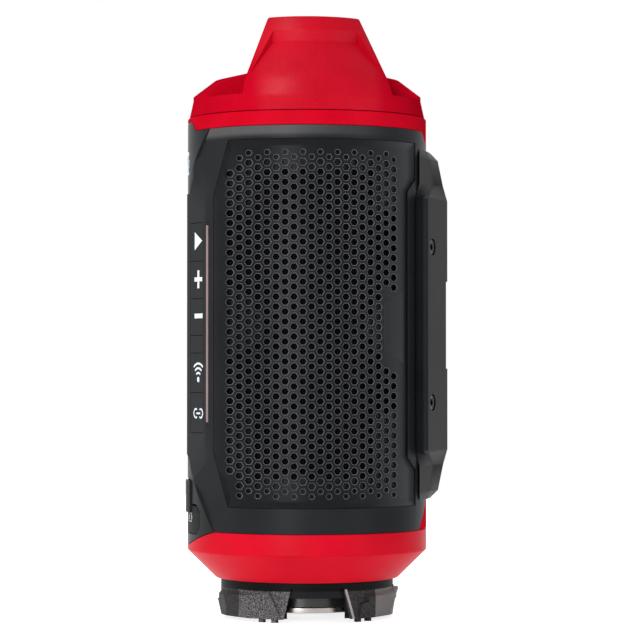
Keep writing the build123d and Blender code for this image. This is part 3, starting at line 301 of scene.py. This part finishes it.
# ---------------------------------------------------------------- top lid
# The red lid and its bridge handle, one moulding screwed down from inside. The panel sunk into the
# handle is bare, with the same fine grain as the rest.
handled_x = (19, 25)
least_sheen = 0.02
grain_sheen = 0.34


def coordinate(paint, place, axis):
    """X, Y or Z of a place on the piece, in metres, for an axis of 0, 1 or 2."""
    return paint.node("SeparateXYZ", {}, {"Vector": place}, axis)


def handled(paint, place, shade, fine):
    """Hands have rubbed the handle's faces and the lid below them to a sparkling sheen."""
    x = coordinate(paint, place, 0)
    aside = x.larger(0 - x)
    area_mask = 1 - aside.step(handled_x[0] * mm, handled_x[1] * mm)
    return {"Coat Weight": area_mask * (least_sheen + fine * grain_sheen)}


lid_sheen = {"Specular IOR Level": 0.0, "Coat Roughness": 0.4}
# The lid's red is painted a little darker than the housing's, as painted shade.
lid_red = finish("lid_nylon", (0.50, 0.0012, 0.0135), 0.36, where=handled, **red_grain, **lid_sheen)
dress(lid_red, "top_lid")
ease("top_lid", 0.3, True)

# ---------------------------------------------------------------- bezels
# Black skins of the front and back halves, held by the bracket and the collar. A flat on the left of
# the front one carries the keys, and a bevel leads from it down to the grille.
nylon_black = (0.0125, 0.0133, 0.015)
black_sheen = {"Specular IOR Level": 0.06}
black_grain = {"grain": 0.4, "grain_size": 0.4, "worn": 0.04}
# The bezels' band above the grille is painted lighter, as a painted sheen.
sheen_band_z = (173.2, 175.5)
sheen_band_x = (-26, 34)
sheen_grey = (0.095, 0.093, 0.094)


def painted_sheen_band(paint, place, shade, fine):
    """The band above the grille is painted lighter, most at its left, as a painted sheen."""
    x = coordinate(paint, place, 0)
    z = coordinate(paint, place, 2)
    above = z.step(sheen_band_z[0] * mm, sheen_band_z[1] * mm)
    leftwards = 1 - x.step(sheen_band_x[0] * mm, sheen_band_x[1] * mm)
    painted_sheen = above * leftwards * (0.6 + fine * 0.5)
    return {"Base Color": painted_sheen.tint(shade, sheen_grey)}


bezel_black = finish("bezel_nylon", nylon_black, 0.36, where=painted_sheen_band, **black_grain, **black_sheen)
dress(bezel_black, "front_bezel", "rear_bezel")
ease("front_bezel", 0.3, True)
ease("rear_bezel", 0.3, True)


# ---------------------------------------------------------------- grilles
# The front and rear grilles are thin curved plates, moulded with a field of six-sided holes. Each
# hole has a chamfered rim, painted pale grey as a painted highlight. Most go right through, and
# those near the edges stop at a floor.
grille_r = 42.5
grille_t = 1.6
grille_gap = 0.15
grille_low_z = 41.6
grille_top_z = 172.9
grille_half = 36.6
grille_corner_w = 4.6
grille_corner_h = 19.5
grille_notch_x = 33.0
grille_notch_z = (59.1, 155.1)
grille_notch_h = 4.5
grille_lift = 1.1  # of the rim at the outer corners
notch_lift = 0.2  # of the rim at the notch's ends
grille_rims = [1.3, 1.0, 1.3, 2.3, 1.1, 0.5, 0.5, 0.5, 1.1, 2.4]  # widths of the sloping rims
hole_column_0 = -31.3
hole_columns = 20
hole_pitch_x = 3.09
hole_pitch_z = 3.54
hole_mid_z = 107.9
hole_r = 1.34
hole_rim = 0.2
hole_chamfer = 0.18
hole_taper = 0.97
hole_floor = 1.3
small_hole = 0.74
even_rows = (-17, 17)
odd_rows = (-18, 16)
first_rows = (-15, 15)
plaque_columns = 2
plaque_gap_z = (91, 119.5)
blind_rows = 2
blind_middle = (12.0, 10.2, 8.6, 4.6)
blind_mid_z = 106.6
blind_side_columns = 3
through_side_z = (75.5, 147.5)
hair = 1e-6  # slack for being at the same depth
near = 1e-4  # distance at which two corners are one
spare_lines = 3  # columns to each side of the holes where the margin is cut too


def wrap_forward(point):
    """Put a flat point (x, depth, z) onto the drum: depth is measured in from the grille's face."""
    x, depth, z = point
    return Vector((x, -math.sqrt((grille_r - depth) ** 2 - x * x), z)) * mm


def inset(points, distances):
    """Clockwise outline with each edge moved inwards by its own distance."""
    lines = []
    for k, (a, b) in enumerate(zip(points, points[1:] + points[:1])):
        run = Vector((b[0] - a[0], b[1] - a[1])).normalized()
        inwards = Vector((run.y, -run.x))
        lines.append((Vector(a) + inwards * distances[k], run))
    moved = []
    for k in range(len(points)):
        (p, u), (q, v) = lines[k - 1], lines[k]
        reach = ((q.x - p.x) * v.y - (q.y - p.y) * v.x) / (u.x * v.y - u.y * v.x)
        moved.append(tuple(p + u * reach))
    return moved


def make_piece(name, mesh_data, material, body="body", sharp=32):
    """Object from a finished bmesh in metres, smooth but for its sharp edges, riding on a body."""
    mesh = bpy.data.meshes.new(name)
    mesh_data.to_mesh(mesh)
    mesh_data.free()
    for face in mesh.polygons:
        face.use_smooth = True
    mesh.set_sharp_from_angle(angle=math.radians(sharp))
    mesh.materials.append(material)
    piece = bpy.data.objects.new(name, mesh)
    bpy.context.scene.collection.objects.link(piece)
    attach(piece, body)
    return piece


def grille_holes():
    """Centre, size and whether it goes through, of every hole."""
    for column in range(hole_columns):
        x = hole_column_0 + column * hole_pitch_x
        odd = column % 2
        lowest, highest = odd_rows if odd else even_rows
        if column == 0:
            lowest, highest = first_rows
        for row in range(lowest, highest + 1):
            z = hole_mid_z + (row + odd / 2) * hole_pitch_z
            if column >= hole_columns - plaque_columns and plaque_gap_z[0] < z < plaque_gap_z[1]:
                continue
            end = row in (lowest, highest) and column > 0
            through = lowest + blind_rows <= row <= highest - blind_rows
            aside = min(column, hole_columns - 1 - column)
            if aside < len(blind_middle) and abs(z - blind_mid_z) < blind_middle[aside]:
                through = False
            if aside < blind_side_columns and not through_side_z[0] < z < through_side_z[1]:
                through = False
            yield x, z, small_hole if end else 1.0, through


def grille_mesh():
    """Flat grille, x across, y its depth from the face inwards, z up, then wrapped onto the drum."""
    low_notch, top_notch = grille_notch_z
    edge = [
        (-grille_half + grille_corner_w, grille_low_z),
        (-grille_half, grille_low_z + grille_corner_h),
        (-grille_half, grille_top_z - grille_corner_h),
        (-grille_half + grille_corner_w, grille_top_z),
        (grille_half, grille_top_z),
        (grille_half, top_notch + grille_notch_h),
        (grille_notch_x, top_notch),
        (grille_notch_x, low_notch),
        (grille_half, low_notch - grille_notch_h),
        (grille_half, grille_low_z),
    ]
    edge = inset(edge, [grille_gap] * len(edge))
    face_edge = inset(edge, grille_rims)
    lifts = [grille_lift, 0.0, 0.0, grille_lift, grille_lift, notch_lift, 0.0, 0.0, notch_lift, grille_lift]
    bm = bmesh.new()
    corners = {}

    def corner(x, depth, z):
        key = (round(x, 3), round(depth, 3), round(z, 3))
        if key not in corners:
            corners[key] = bm.verts.new((x, depth, z))
        return corners[key]

    # Each hole has a six-sided cell of its own, whose corners are as far from it as from two others.
    side_x = (hole_pitch_x**2 - hole_pitch_z**2 / 4) / (2 * hole_pitch_x)
    tip_x = hole_pitch_x - side_x
    side_z = hole_pitch_z / 2
    cell = [(tip_x, 0), (side_x, side_z), (-side_x, side_z)]
    cell += [(-tip_x, 0), (-side_x, -side_z), (side_x, -side_z)]
    turns = [math.radians(60 * k) for k in range(6)]
    for x, z, size, through in grille_holes():

        def hexagon(r, depth):
            return [bm.verts.new((x + r * math.cos(a), depth, z + r * math.sin(a))) for a in turns]

        web = [corner(x + a, 0, z + b) for a, b in cell]
        back = [corner(x + a, grille_t, z + b) for a, b in cell]
        r = hole_r * size
        rings = [web, hexagon(r + hole_rim, 0), hexagon(r, hole_chamfer)]
        if through:
            rings += [hexagon(r * hole_taper, grille_t), back]
        else:
            rings += [hexagon(r * hole_taper, hole_floor)]
        for ring_number, (outer, inner) in enumerate(zip(rings, rings[1:])):
            chamfer = ring_number == 1
            for k in range(6):
                j = (k + 1) % 6
                wall = bm.faces.new((outer[k], inner[k], inner[j], outer[j]))
                wall.material_index = 1 if chamfer else 0
        if not through:
            bm.faces.new(list(reversed(rings[-1])))
            bm.faces.new(back)
    bm.normal_update()

    def plate(points, depth):
        """Fill between the field of holes and an outline, and give back the outline's corners."""
        rim_edges = []
        for e in bm.edges:
            flat = all(abs(v.co.y - depth) < hair for v in e.verts)
            if flat and len(e.link_faces) == 1:
                rim_edges.append(e)
        loop = [bm.verts.new((a, depth, b)) for a, b in points]
        edges = [bm.edges.new((loop[k - 1], loop[k])) for k in range(len(loop))]
        bmesh.ops.triangle_fill(
            bm, use_beauty=True, use_dissolve=False, edges=rim_edges + edges, normal=(0, -1, 0)
        )
        return loop

    face_loop = plate(face_edge, 0)
    back_loop = plate(edge, grille_t)
    top_loop = [bm.verts.new((a, -lift, b)) for (a, b), lift in zip(edge, lifts)]
    count = len(edge)
    for k in range(count):
        j = (k + 1) % count
        bm.faces.new((face_loop[k], face_loop[j], top_loop[j], top_loop[k]))
        bm.faces.new((top_loop[k], top_loop[j], back_loop[j], back_loop[k]))

    # The plain faces are cut along upright lines through the holes, so that they bend with the drum.
    lines = set()
    for column in range(-spare_lines, hole_columns + spare_lines):
        x = hole_column_0 + column * hole_pitch_x
        lines.add(round(x - side_x, 4))
        lines.add(round(x + side_x, 4))
    for x in sorted(lines):
        crossed = []
        for f in bm.faces:
            xs = [v.co.x for v in f.verts]
            if min(xs) < x - near and max(xs) > x + near and len(f.verts) < 6 and f.calc_area() > 0:
                crossed.append(f)
        parts = set(crossed)
        for f in crossed:
            parts.update(f.edges)
            parts.update(f.verts)
        bmesh.ops.bisect_plane(bm, geom=list(parts), dist=near, plane_co=(x, 0, 0), plane_no=(1, 0, 0))
    bmesh.ops.remove_doubles(bm, verts=bm.verts, dist=near)
    for v in bm.verts:
        v.co = wrap_forward(v.co)
    bmesh.ops.recalc_face_normals(bm, faces=bm.faces)
    return bm


# Painted light on the grille's side towards the bracket.
lit_side_x = (12, 40)
lit_side_grey = (0.045, 0.047, 0.05)


def painted_light_side(paint, place, shade, fine):
    """The grille is painted paler towards the bracket, as painted light falling on that side."""
    area_mask = coordinate(paint, place, 0).step(lit_side_x[0] * mm, lit_side_x[1] * mm)
    return {"Base Color": area_mask.tint(shade, lit_side_grey)}


grille_grain = {"grain": 0.4, "grain_size": 0.4, "worn": 0.05}
rim_grain = {"grain": 0.3, "grain_size": 0.4, "worn": 0.2}
grille_black = finish(
    "black_grille", (0.0075, 0.008, 0.0092), 0.34, where=painted_light_side, **grille_grain, **black_sheen
)
# The chamfered rims of the holes are painted pale grey, as a painted highlight.
rim_highlight_grey = finish("hole_rim_highlights", (0.125, 0.128, 0.132), 0.34, **rim_grain, **black_sheen)
front_grille = make_piece("front_grille_plate", grille_mesh(), grille_black)
front_grille.data.materials.append(rim_highlight_grey)
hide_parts("front_grille")
rear = grille_mesh()
bmesh.ops.scale(rear, vec=(1, -1, 1), verts=rear.verts)
bmesh.ops.reverse_faces(rear, faces=rear.faces)
rear_grille = make_piece("rear_grille_plate", rear, grille_black)
rear_grille.data.materials.append(rim_highlight_grey)
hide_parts("rear_grille")

plaque_left_x = 23.1
plaque_right_x = 32.0
plaque_left_z = (97.4, 114.9)
plaque_right_z = (92.6, 119.7)
plaque_sunk = 0.1
plaque_lip_proud = 0.1
plaque_lip_w = 0.1
plaque_proud = 0.2
plaque_rim_w = 0.35
plaque_steps = 12
plaque_step_w = 0.75
plaque_outline = [
    (plaque_left_x, plaque_left_z[0]),
    (plaque_left_x, plaque_left_z[1]),
    (plaque_right_x, plaque_right_z[1]),
    (plaque_right_x, plaque_right_z[0]),
]
bm = bmesh.new()
base = [bm.verts.new((x, plaque_sunk, z)) for x, z in plaque_outline]
lip_outline = inset(plaque_outline, [plaque_lip_w] * 4)
lip = [bm.verts.new((x, -plaque_lip_proud, z)) for x, z in lip_outline]
top_outline = inset(plaque_outline, [plaque_rim_w] * 4)
top = [bm.verts.new((x, -plaque_proud, z)) for x, z in top_outline]
for low, high in ((base, lip), (lip, top)):
    for k in range(4):
        bm.faces.new((low[k - 1], high[k - 1], high[k], low[k]))
bm.faces.new(top)
bm.faces.new(list(reversed(base)))
for k in range(1, plaque_steps):
    cut_x = plaque_left_x + plaque_step_w * k
    whole = bm.verts[:] + bm.edges[:] + bm.faces[:]
    bmesh.ops.bisect_plane(bm, geom=whole, dist=1e-5, plane_co=(cut_x, 0, 0), plane_no=(1, 0, 0))
for v in bm.verts:
    v.co = wrap_forward(v.co)
bmesh.ops.recalc_face_normals(bm, faces=bm.faces)
plaque = make_piece("grille_plaque", bm, grille_black)

cloth_black = finish("black_cloth", (0.002, 0.002, 0.002), 0.95, **{"Specular IOR Level": 0.1})
dress(cloth_black, "front_dust_cloth", "rear_dust_cloth")

# ---------------------------------------------------------------- left side panel
# A black strip up the left of the drum, waisted between the bezels, which carries the power button
# and the charging port.
black = finish("black_nylon", nylon_black, 0.36, **black_grain, **black_sheen)
dress(black, "side_panel")
ease("side_panel", 0.3, True)


# ---------------------------------------------------------------- power button
# A round black rubber button, which slides in its bore in the side panel. Its mark is printed in
# white. The pale ring round it is moulded in a milky plastic, and lights when the speaker is on.
def stamp(name, shapes, place, material, body, proud=0.03, sunk=0.05):
    """Printed mark: outlines in millimetres, which place puts on a surface and a hair proud of it."""
    bm = bmesh.new()
    for points in shapes:
        low = [bm.verts.new(place(a, b, -sunk)) for a, b in points]
        high = [bm.verts.new(place(a, b, proud)) for a, b in points]
        bm.faces.new(high)
        bm.faces.new(list(reversed(low)))
        for k in range(len(points)):
            bm.faces.new((low[k - 1], low[k], high[k], high[k - 1]))
    bmesh.ops.recalc_face_normals(bm, faces=bm.faces)
    return make_piece(name, bm, material, body)


def arc_band(x, y, r, width, start, end, steps=14):
    """Outline of a bent stroke round (x, y), angles in degrees from +x."""
    turns = [math.radians(start + (end - start) * k / steps) for k in range(steps + 1)]
    outer = [(x + (r + width / 2) * math.cos(a), y + (r + width / 2) * math.sin(a)) for a in turns]
    inner = [(x + (r - width / 2) * math.cos(a), y + (r - width / 2) * math.sin(a)) for a in turns]
    return outer + inner[::-1]


def bar(x, y, w, h):
    """Outline of an upright rectangle centred on (x, y)."""
    return [(x - w / 2, y - h / 2), (x + w / 2, y - h / 2), (x + w / 2, y + h / 2), (x - w / 2, y + h / 2)]


power_z = 166.4
power_face_x = -43.65
ring_white = finish("pale_ring", (0.72, 0.77, 0.84), 0.35, 0.1, 0.5)
button_black = finish("button_rubber", (0.009, 0.009, 0.01), 0.6, 0.5, 0.3, 0.05, **black_sheen)
dress(button_black, "power_button")
ring_r = 4.0
ring_half_w = 0.45
ring_shoulder_w = 0.3
ring_shoulder = 0.14
ring_proud = 0.2
ring_step = 0.1  # out from the button's face
ring_lean = 0.07  # out per millimetre backwards, which turns it a little towards the front
ring_depth = 2.5
ring_steps = 48
bm = bmesh.new()
section = [(-ring_half_w, -ring_depth), (-ring_half_w, 0), (-ring_shoulder_w, ring_shoulder)]
section += [(0, ring_proud)]
section += [(ring_shoulder_w, ring_shoulder), (ring_half_w, 0), (ring_half_w, -ring_depth)]
loops = []
for k in range(ring_steps):
    a = math.radians(360 / ring_steps * k)
    across, up = math.cos(a), math.sin(a)
    loop = []
    for out, proud in section:
        r = ring_r + out
        lean = r * across * ring_lean
        x = power_face_x - ring_step - proud - lean
        loop.append(bm.verts.new(Vector((x, r * across, power_z + r * up)) * mm))
    loops.append(loop)
for k, loop in enumerate(loops):
    for j in range(len(section)):
        bm.faces.new((loops[k - 1][j - 1], loop[j - 1], loop[j], loops[k - 1][j]))
bmesh.ops.recalc_face_normals(bm, faces=bm.faces)
ring = make_piece("power_light_ring", bm, ring_white, sharp=60)
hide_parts("power_ring")


def on_power_button(a, b, proud):
    """Place on the button's face, a forwards and b up from its middle."""
    return Vector((power_face_x - proud, -a, power_z + b)) * mm


mark_white = finish("printed_white", (0.80, 0.83, 0.86), 0.5, 0.1, 0.3)
power_mark_r = 1.5
power_stroke = 0.4
power_mark = [arc_band(0, 0, power_mark_r, power_stroke, 120, 420), bar(0, 1.4, power_stroke, 1.5)]
stamp("power_mark", power_mark, on_power_button, mark_white, "power_button")

# ---------------------------------------------------------------- keys
# Five soft-touch keys in line, and a dark window for the charge lights between them. Their marks are
# pad-printed in white.
strip_angle = math.radians(68.8)
strip_d = 42.47
strip_out = Vector((-math.sin(strip_angle), -math.cos(strip_angle), 0))
strip_along = Vector((math.cos(strip_angle), -math.sin(strip_angle), 0))
mark_s = -4.4


def on_strip(a, b, proud):
    """Place on the keys' faces, a forwards from the middle of the marks and b up from the ground."""
    flat = strip_out * (strip_d + proud) + strip_along * (mark_s + a)
    return Vector((flat.x, flat.y, b)) * mm


key_rubber = finish("key_rubber", (0.0125, 0.0133, 0.0145), 0.42, 0.3, 0.3, 0.04, **black_sheen)
dress(key_rubber, "play_key", "volume_up_key", "volume_down_key", "wireless_key", "link_key")
window_black = finish("window_black", (0.0118, 0.0125, 0.0138), 0.38, **black_sheen)
dress(window_black, "status_window")
play_z = 137.6
play_left = -3.0
play_tip = 3.1
play_half = 3.3
play_mark = [[(play_left, play_z - play_half), (play_tip, play_z), (play_left, play_z + play_half)]]

up_z = 123.6
plus_w = 6.4
plus_stroke = 1.5
arm_mid = 2.0
arm_h = 2.5
up_mark = [bar(0, up_z, plus_w, plus_stroke)]
for arm_z in (up_z + arm_mid, up_z - arm_mid):
    up_mark.append(bar(0, arm_z, plus_stroke, arm_h))

down_z = 110.3
minus_w = 6.6
minus_stroke = 1.7
down_mark = [bar(0.2, down_z, minus_w, minus_stroke)]

wireless_z = 89.8
wave_dot_r = 1.0
wave_dot_z = wireless_z - 2.6
wave_z = wireless_z - 2.8
wave_stroke = 0.75
wireless_mark = [arc_band(0, wave_dot_z, wave_dot_r / 2, wave_dot_r, 0, 345)]
for wave_r in (2.6, 4.3, 6.0):
    wireless_mark.append(arc_band(0, wave_z, wave_r, wave_stroke, 52, 128))

link_z = 74.9
link_x = 2.0
link_r = 1.6
link_stroke = 0.6
link_mark = [bar(0, link_z, 3.0, 0.65)]
link_mark.append(arc_band(-link_x, link_z, link_r, link_stroke, 55, 305))
link_mark.append(arc_band(link_x, link_z, link_r, link_stroke, -125, 125))

stamp("play_mark", play_mark, on_strip, mark_white, "play_key")
stamp("volume_up_mark", up_mark, on_strip, mark_white, "volume_up_key")
stamp("volume_down_mark", down_mark, on_strip, mark_white, "volume_down_key")
stamp("wireless_mark", wireless_mark, on_strip, mark_white, "wireless_key")
stamp("link_mark", link_mark, on_strip, mark_white, "link_key")

# ---------------------------------------------------------------- light strip
# A thin pinkish diffuser of milky plastic, let into the crease beside the keys, with a dark dot at
# each end.
bevel_angle = math.radians(62.6)
bevel_d = 42.35
bevel_out = Vector((-math.sin(bevel_angle), -math.cos(bevel_angle), 0))
bevel_along = Vector((math.cos(bevel_angle), -math.sin(bevel_angle), 0))
lens_low_z = 71.8
lens_top_z = 142.9
lens_t = -1.95
lens_w = 1.25
lens_dot_r = 0.4
lens_dot_gap = 0.9


def on_bevel(a, b, proud):
    """Place on the bevel in the crease, a forwards from the lens's middle and b up from the ground."""
    flat = bevel_out * (bevel_d + proud) + bevel_along * (lens_t + a)
    return Vector((flat.x, flat.y, b)) * mm


diffuser = finish("light_diffuser", (0.24, 0.165, 0.165), 0.35, 0.1, 0.5)
lens_outline = [bar(0, (lens_low_z + lens_top_z) / 2, lens_w, lens_top_z - lens_low_z)]
lens = stamp("light_lens", lens_outline, on_bevel, diffuser, "body", proud=0.14, sunk=0.6)
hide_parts("light_strip")
dot_heights = (lens_low_z - lens_dot_gap, lens_top_z + lens_dot_gap)
end_marks = [arc_band(0, z, lens_dot_r / 2, lens_dot_r, 0, 350) for z in dot_heights]
stamp("light_lens_ends", end_marks, on_bevel, window_black, "body", proud=0.06, sunk=0.3)

# ---------------------------------------------------------------- port cover
# A soft rubber cover over the charging port, with a pull tab, hinged along its lower edge. A small
# battery mark is printed on it in grey.
cover_rubber = finish("cover_rubber", (0.009, 0.009, 0.0092), 0.55, 0.5, 0.3, 0.06, **black_sheen)
dress(cover_rubber, "port_cover")
ease("port_cover", 0.25, True)
cover_r = 44.0
cover_mark_y = -5.5
cover_mark_z = 37.0


def on_cover(a, b, proud):
    """Place on the cover's round face, a forwards and b up from the mark's middle."""
    y = cover_mark_y - a
    return Vector((-math.sqrt((cover_r + proud) ** 2 - y * y), y, cover_mark_z + b)) * mm


cell_half = 2.3
cell_line_z = 1.5
cell_h = 3.3
cell_line = 0.35
cover_mark = [bar(0, z, 2 * cell_half, cell_line) for z in (cell_line_z, -cell_line_z)]
cover_mark += [bar(x, 0, cell_line, cell_h) for x in (-cell_half, cell_half)]
cover_mark += [bar(2.8, 0, 0.5, 1.4), bar(-0.9, 0, 1.2, 1.8)]
mark_grey = finish("printed_grey", (0.32, 0.33, 0.34), 0.5, 0.1, 0.3)
stamp("battery_mark", cover_mark, on_cover, mark_grey, "port_cover", proud=0.14, sunk=0.1)

# ---------------------------------------------------------------- foot bracket
# A black block up the right of the drum, which lets it lie on its side or hang. It is screwed on by
# four pan-head screws in its slanted faces.
bracket_grain = {"grain": 0.35, "grain_size": 0.4, "worn": 0.05}
bracket_black = finish("bracket_nylon", (0.0085, 0.0091, 0.0102), 0.4, **bracket_grain, **black_sheen)
dress(bracket_black, "side_bracket")
ease("side_bracket", 0.4, True)
screw_black = finish("black_steel", (0.05, 0.05, 0.055), 0.35, 0.1, 0.3, **{"Metallic": 0.9})
screw_seat = Vector((40.30, 21.01))
screw_out = Vector((0.8674, 0.4977))
screw_mid_z = 107.1
screw_half_z = 28.25
screw_steps = 36
screw_lobes = 6
# Radius, height above the seat and depth of the socket's lobes, along a screw from its end.
screw_rings = [(1.1, -9.0, 0), (1.5, -8.6, 0), (1.5, 0, 0), (2.85, 0, 0), (2.85, 2.6, 0), (2.7, 2.9, 0)]
screw_rings += [(2.35, 3.05, 0), (1.95, 3.05, 0), (1.8, 2.85, 0), (1.35, 2.85, 0.22), (1.3, 1.7, 0.22)]
bm = bmesh.new()
for side in (1, -1):
    for lift in (1, -1):
        out = Vector((screw_out.x, screw_out.y * side, 0))
        across = Vector((-out.y, out.x, 0))
        seat = Vector((screw_seat.x, screw_seat.y * side, screw_mid_z + screw_half_z * lift))
        turned = []
        for r, h, lobe in screw_rings:
            ring_verts = []
            for k in range(screw_steps):
                a = math.radians(360 / screw_steps * k)
                reach = r + lobe * math.cos(screw_lobes * a)
                flat = across * (reach * math.cos(a)) + Vector((0, 0, reach * math.sin(a)))
                ring_verts.append(bm.verts.new((seat + out * h + flat) * mm))
            turned.append(ring_verts)
        for low, high in zip(turned, turned[1:]):
            for k in range(screw_steps):
                bm.faces.new((low[k - 1], low[k], high[k], high[k - 1]))
        bm.faces.new(turned[-1])
        bm.faces.new(list(reversed(turned[0])))
bmesh.ops.recalc_face_normals(bm, faces=bm.faces)
lobe_screws = make_piece("bracket_lobe_screws", bm, screw_black, sharp=35)
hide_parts("bracket_screws")

# ---------------------------------------------------------------- foot ring
# Three flared claws under the drum, moulded with a neck and a plate, which grip a mating base. The
# claws' outer faces are coarsely textured.
neck_z = (11, 11.6)
neck_shade_black = (0.0035, 0.0035, 0.0038)
claw_r = (30.2, 30.8)
pit_scale = 2800.0
pit_grey = (0.26, 0.26, 0.26)
pitted_x = (-27, -9)
smooth_x = 22
smooth_grey = (0.17, 0.165, 0.16)
corner_x = (9.9, 10.8)
corner_top_z = 12
corner_lean = 0.29
corner_grey = (0.36, 0.35, 0.34)


def spark_eroded(paint, place, shade, fine):
    """The claws' outer faces are stippled lighter, most on one facet. The neck above them is painted near
    black, as painted shade under the cap.

    In front, the facet towards the bracket is smooth, and a leaning band along one corner is painted pale.
    """
    x, y, z = (coordinate(paint, place, axis) for axis in range(3))
    front = y < 0
    neck = z.step(neck_z[0] * mm, neck_z[1] * mm)
    outside = ((x * x + y * y) ** 0.5).step(claw_r[0] * mm, claw_r[1] * mm) * (1 - neck)
    # The neck is painted near black, as painted shade under the cap.
    plain = neck.tint(shade, neck_shade_black)
    facet = (x > pitted_x[0] * mm) * (x < pitted_x[1] * mm) * front
    pits = noise(paint, place, pit_scale, 1.0).step(0.3, 0.8)
    pitted = (outside * pits * (0.22 + facet * 0.7)).tint(plain, pit_grey)
    smooth = (outside * (x > smooth_x * mm) * front * 0.9).tint(pitted, smooth_grey)
    # A leaning band along one corner is painted pale.
    corner = x + (z - corner_top_z * mm) * corner_lean
    across = (corner > corner_x[0] * mm) * (corner < corner_x[1] * mm)
    area_mask = across * (z < corner_top_z * mm) * front
    return {"Base Color": (area_mask * 0.9).tint(smooth, corner_grey)}


foot_grain = {"grain": 0.8, "grain_size": 0.5, "worn": 0.2}
foot_black = finish(
    "foot_nylon", (0.010, 0.0105, 0.0115), 0.5, where=spark_eroded, **foot_grain, **black_sheen
)
dress(foot_black, "foot_ring")
ease("foot_ring", 0.2, True)

# ---------------------------------------------------------------- pot magnet
# A ring magnet in a plated steel cup, bright at its rim, which holds the drum to steel. The cup's
# side is painted dark, as painted shade under the drum. A nickel-plated screw through its middle
# holds it in the foot.
# The cup's side above its rim is painted dark, as painted shade under the drum.
rim_z = (5.0, 5.3)
cup_shade_dark = (0.03, 0.029, 0.027)


def shaded_cup_side(paint, place, shade, fine):
    """The cup's side above its rim is painted dark and less metallic, as painted shade under the drum; the
    rim keeps the bright steel.
    """
    high = coordinate(paint, place, 2).step(rim_z[0] * mm, rim_z[1] * mm)
    return {"Base Color": high.tint(shade, cup_shade_dark), "Metallic": 1 - high * 0.6}


steel_grain = {"grain": 0.1, "grain_size": 0.25, "worn": 0.1}
cup_steel = finish("cup_steel", (0.36, 0.335, 0.31), 0.26, where=shaded_cup_side, **steel_grain)
nickel = finish("nickel", (0.24, 0.225, 0.21), 0.26, **steel_grain, **{"Metallic": 1.0})
dress(cup_steel, "magnet_cup")
dress(nickel, "magnet_screw")
ease("magnet_cup", 0.25)
ferrite = finish("ferrite", (0.03, 0.03, 0.032), 0.5, 0.3, 0.3)
dress(ferrite, "ring_magnet", "lower_driver_magnet", "upper_driver_magnet")

# ---------------------------------------------------------------- inside
# Moulded baffles with the drivers and the radiator, the battery in its tray, the boards, the rubber
# seals and the zinc-plated screws. They show only when the case is open.
inner_black = finish("inner_plastic", (0.03, 0.03, 0.032), 0.6, 0.3, 0.4)
dress(inner_black, "front_baffle", "rear_baffle", "battery_tray", "battery_clip")
seal_grey = finish("seal_rubber", (0.02, 0.02, 0.02), 0.8, 0.2, 0.3)
dress(seal_grey, "bottom_seal", "lid_seal")
dress(seal_grey, "lower_driver_surround", "upper_driver_surround", "radiator_surround")
cone_grey = finish("cone_fibre", (0.05, 0.05, 0.05), 0.8, 0.6, 0.8)
dress(cone_grey, "lower_driver_cone", "upper_driver_cone", "lower_driver_dust_cap", "upper_driver_dust_cap")
dress(screw_black, "lower_driver_basket", "upper_driver_basket", "radiator_plate")
copper = finish("copper_wire", (0.75, 0.30, 0.12), 0.3, 0.4, 0.25, **{"Metallic": 1.0})
dress(copper, "lower_driver_voice_coil", "upper_driver_voice_coil")
zinc = finish("zinc_steel", (0.55, 0.56, 0.57), 0.35, 0.1, 0.3, 0.2, **{"Metallic": 1.0})
dress(zinc, "bottom_cap_screws", "lid_screws", "foot_ring_screws", "driver_screws", "main_board_screws")
dress(zinc, "charging_socket")
laminate = finish("board_laminate", (0.01, 0.10, 0.04), 0.4, 0.1, 0.5, 0.1)
dress(laminate, "main_board", "key_board", "power_board", "charging_board")
parts_black = finish("board_parts", (0.02, 0.02, 0.02), 0.4, 0.2, 0.4, 0.1)
dress(parts_black, "main_board_parts", "key_switches", "power_switch")
cell_wrap = finish("cell_wrap", (0.03, 0.12, 0.30), 0.3, 0.1, 0.6, 0.1)
dress(cell_wrap, "battery_cells")
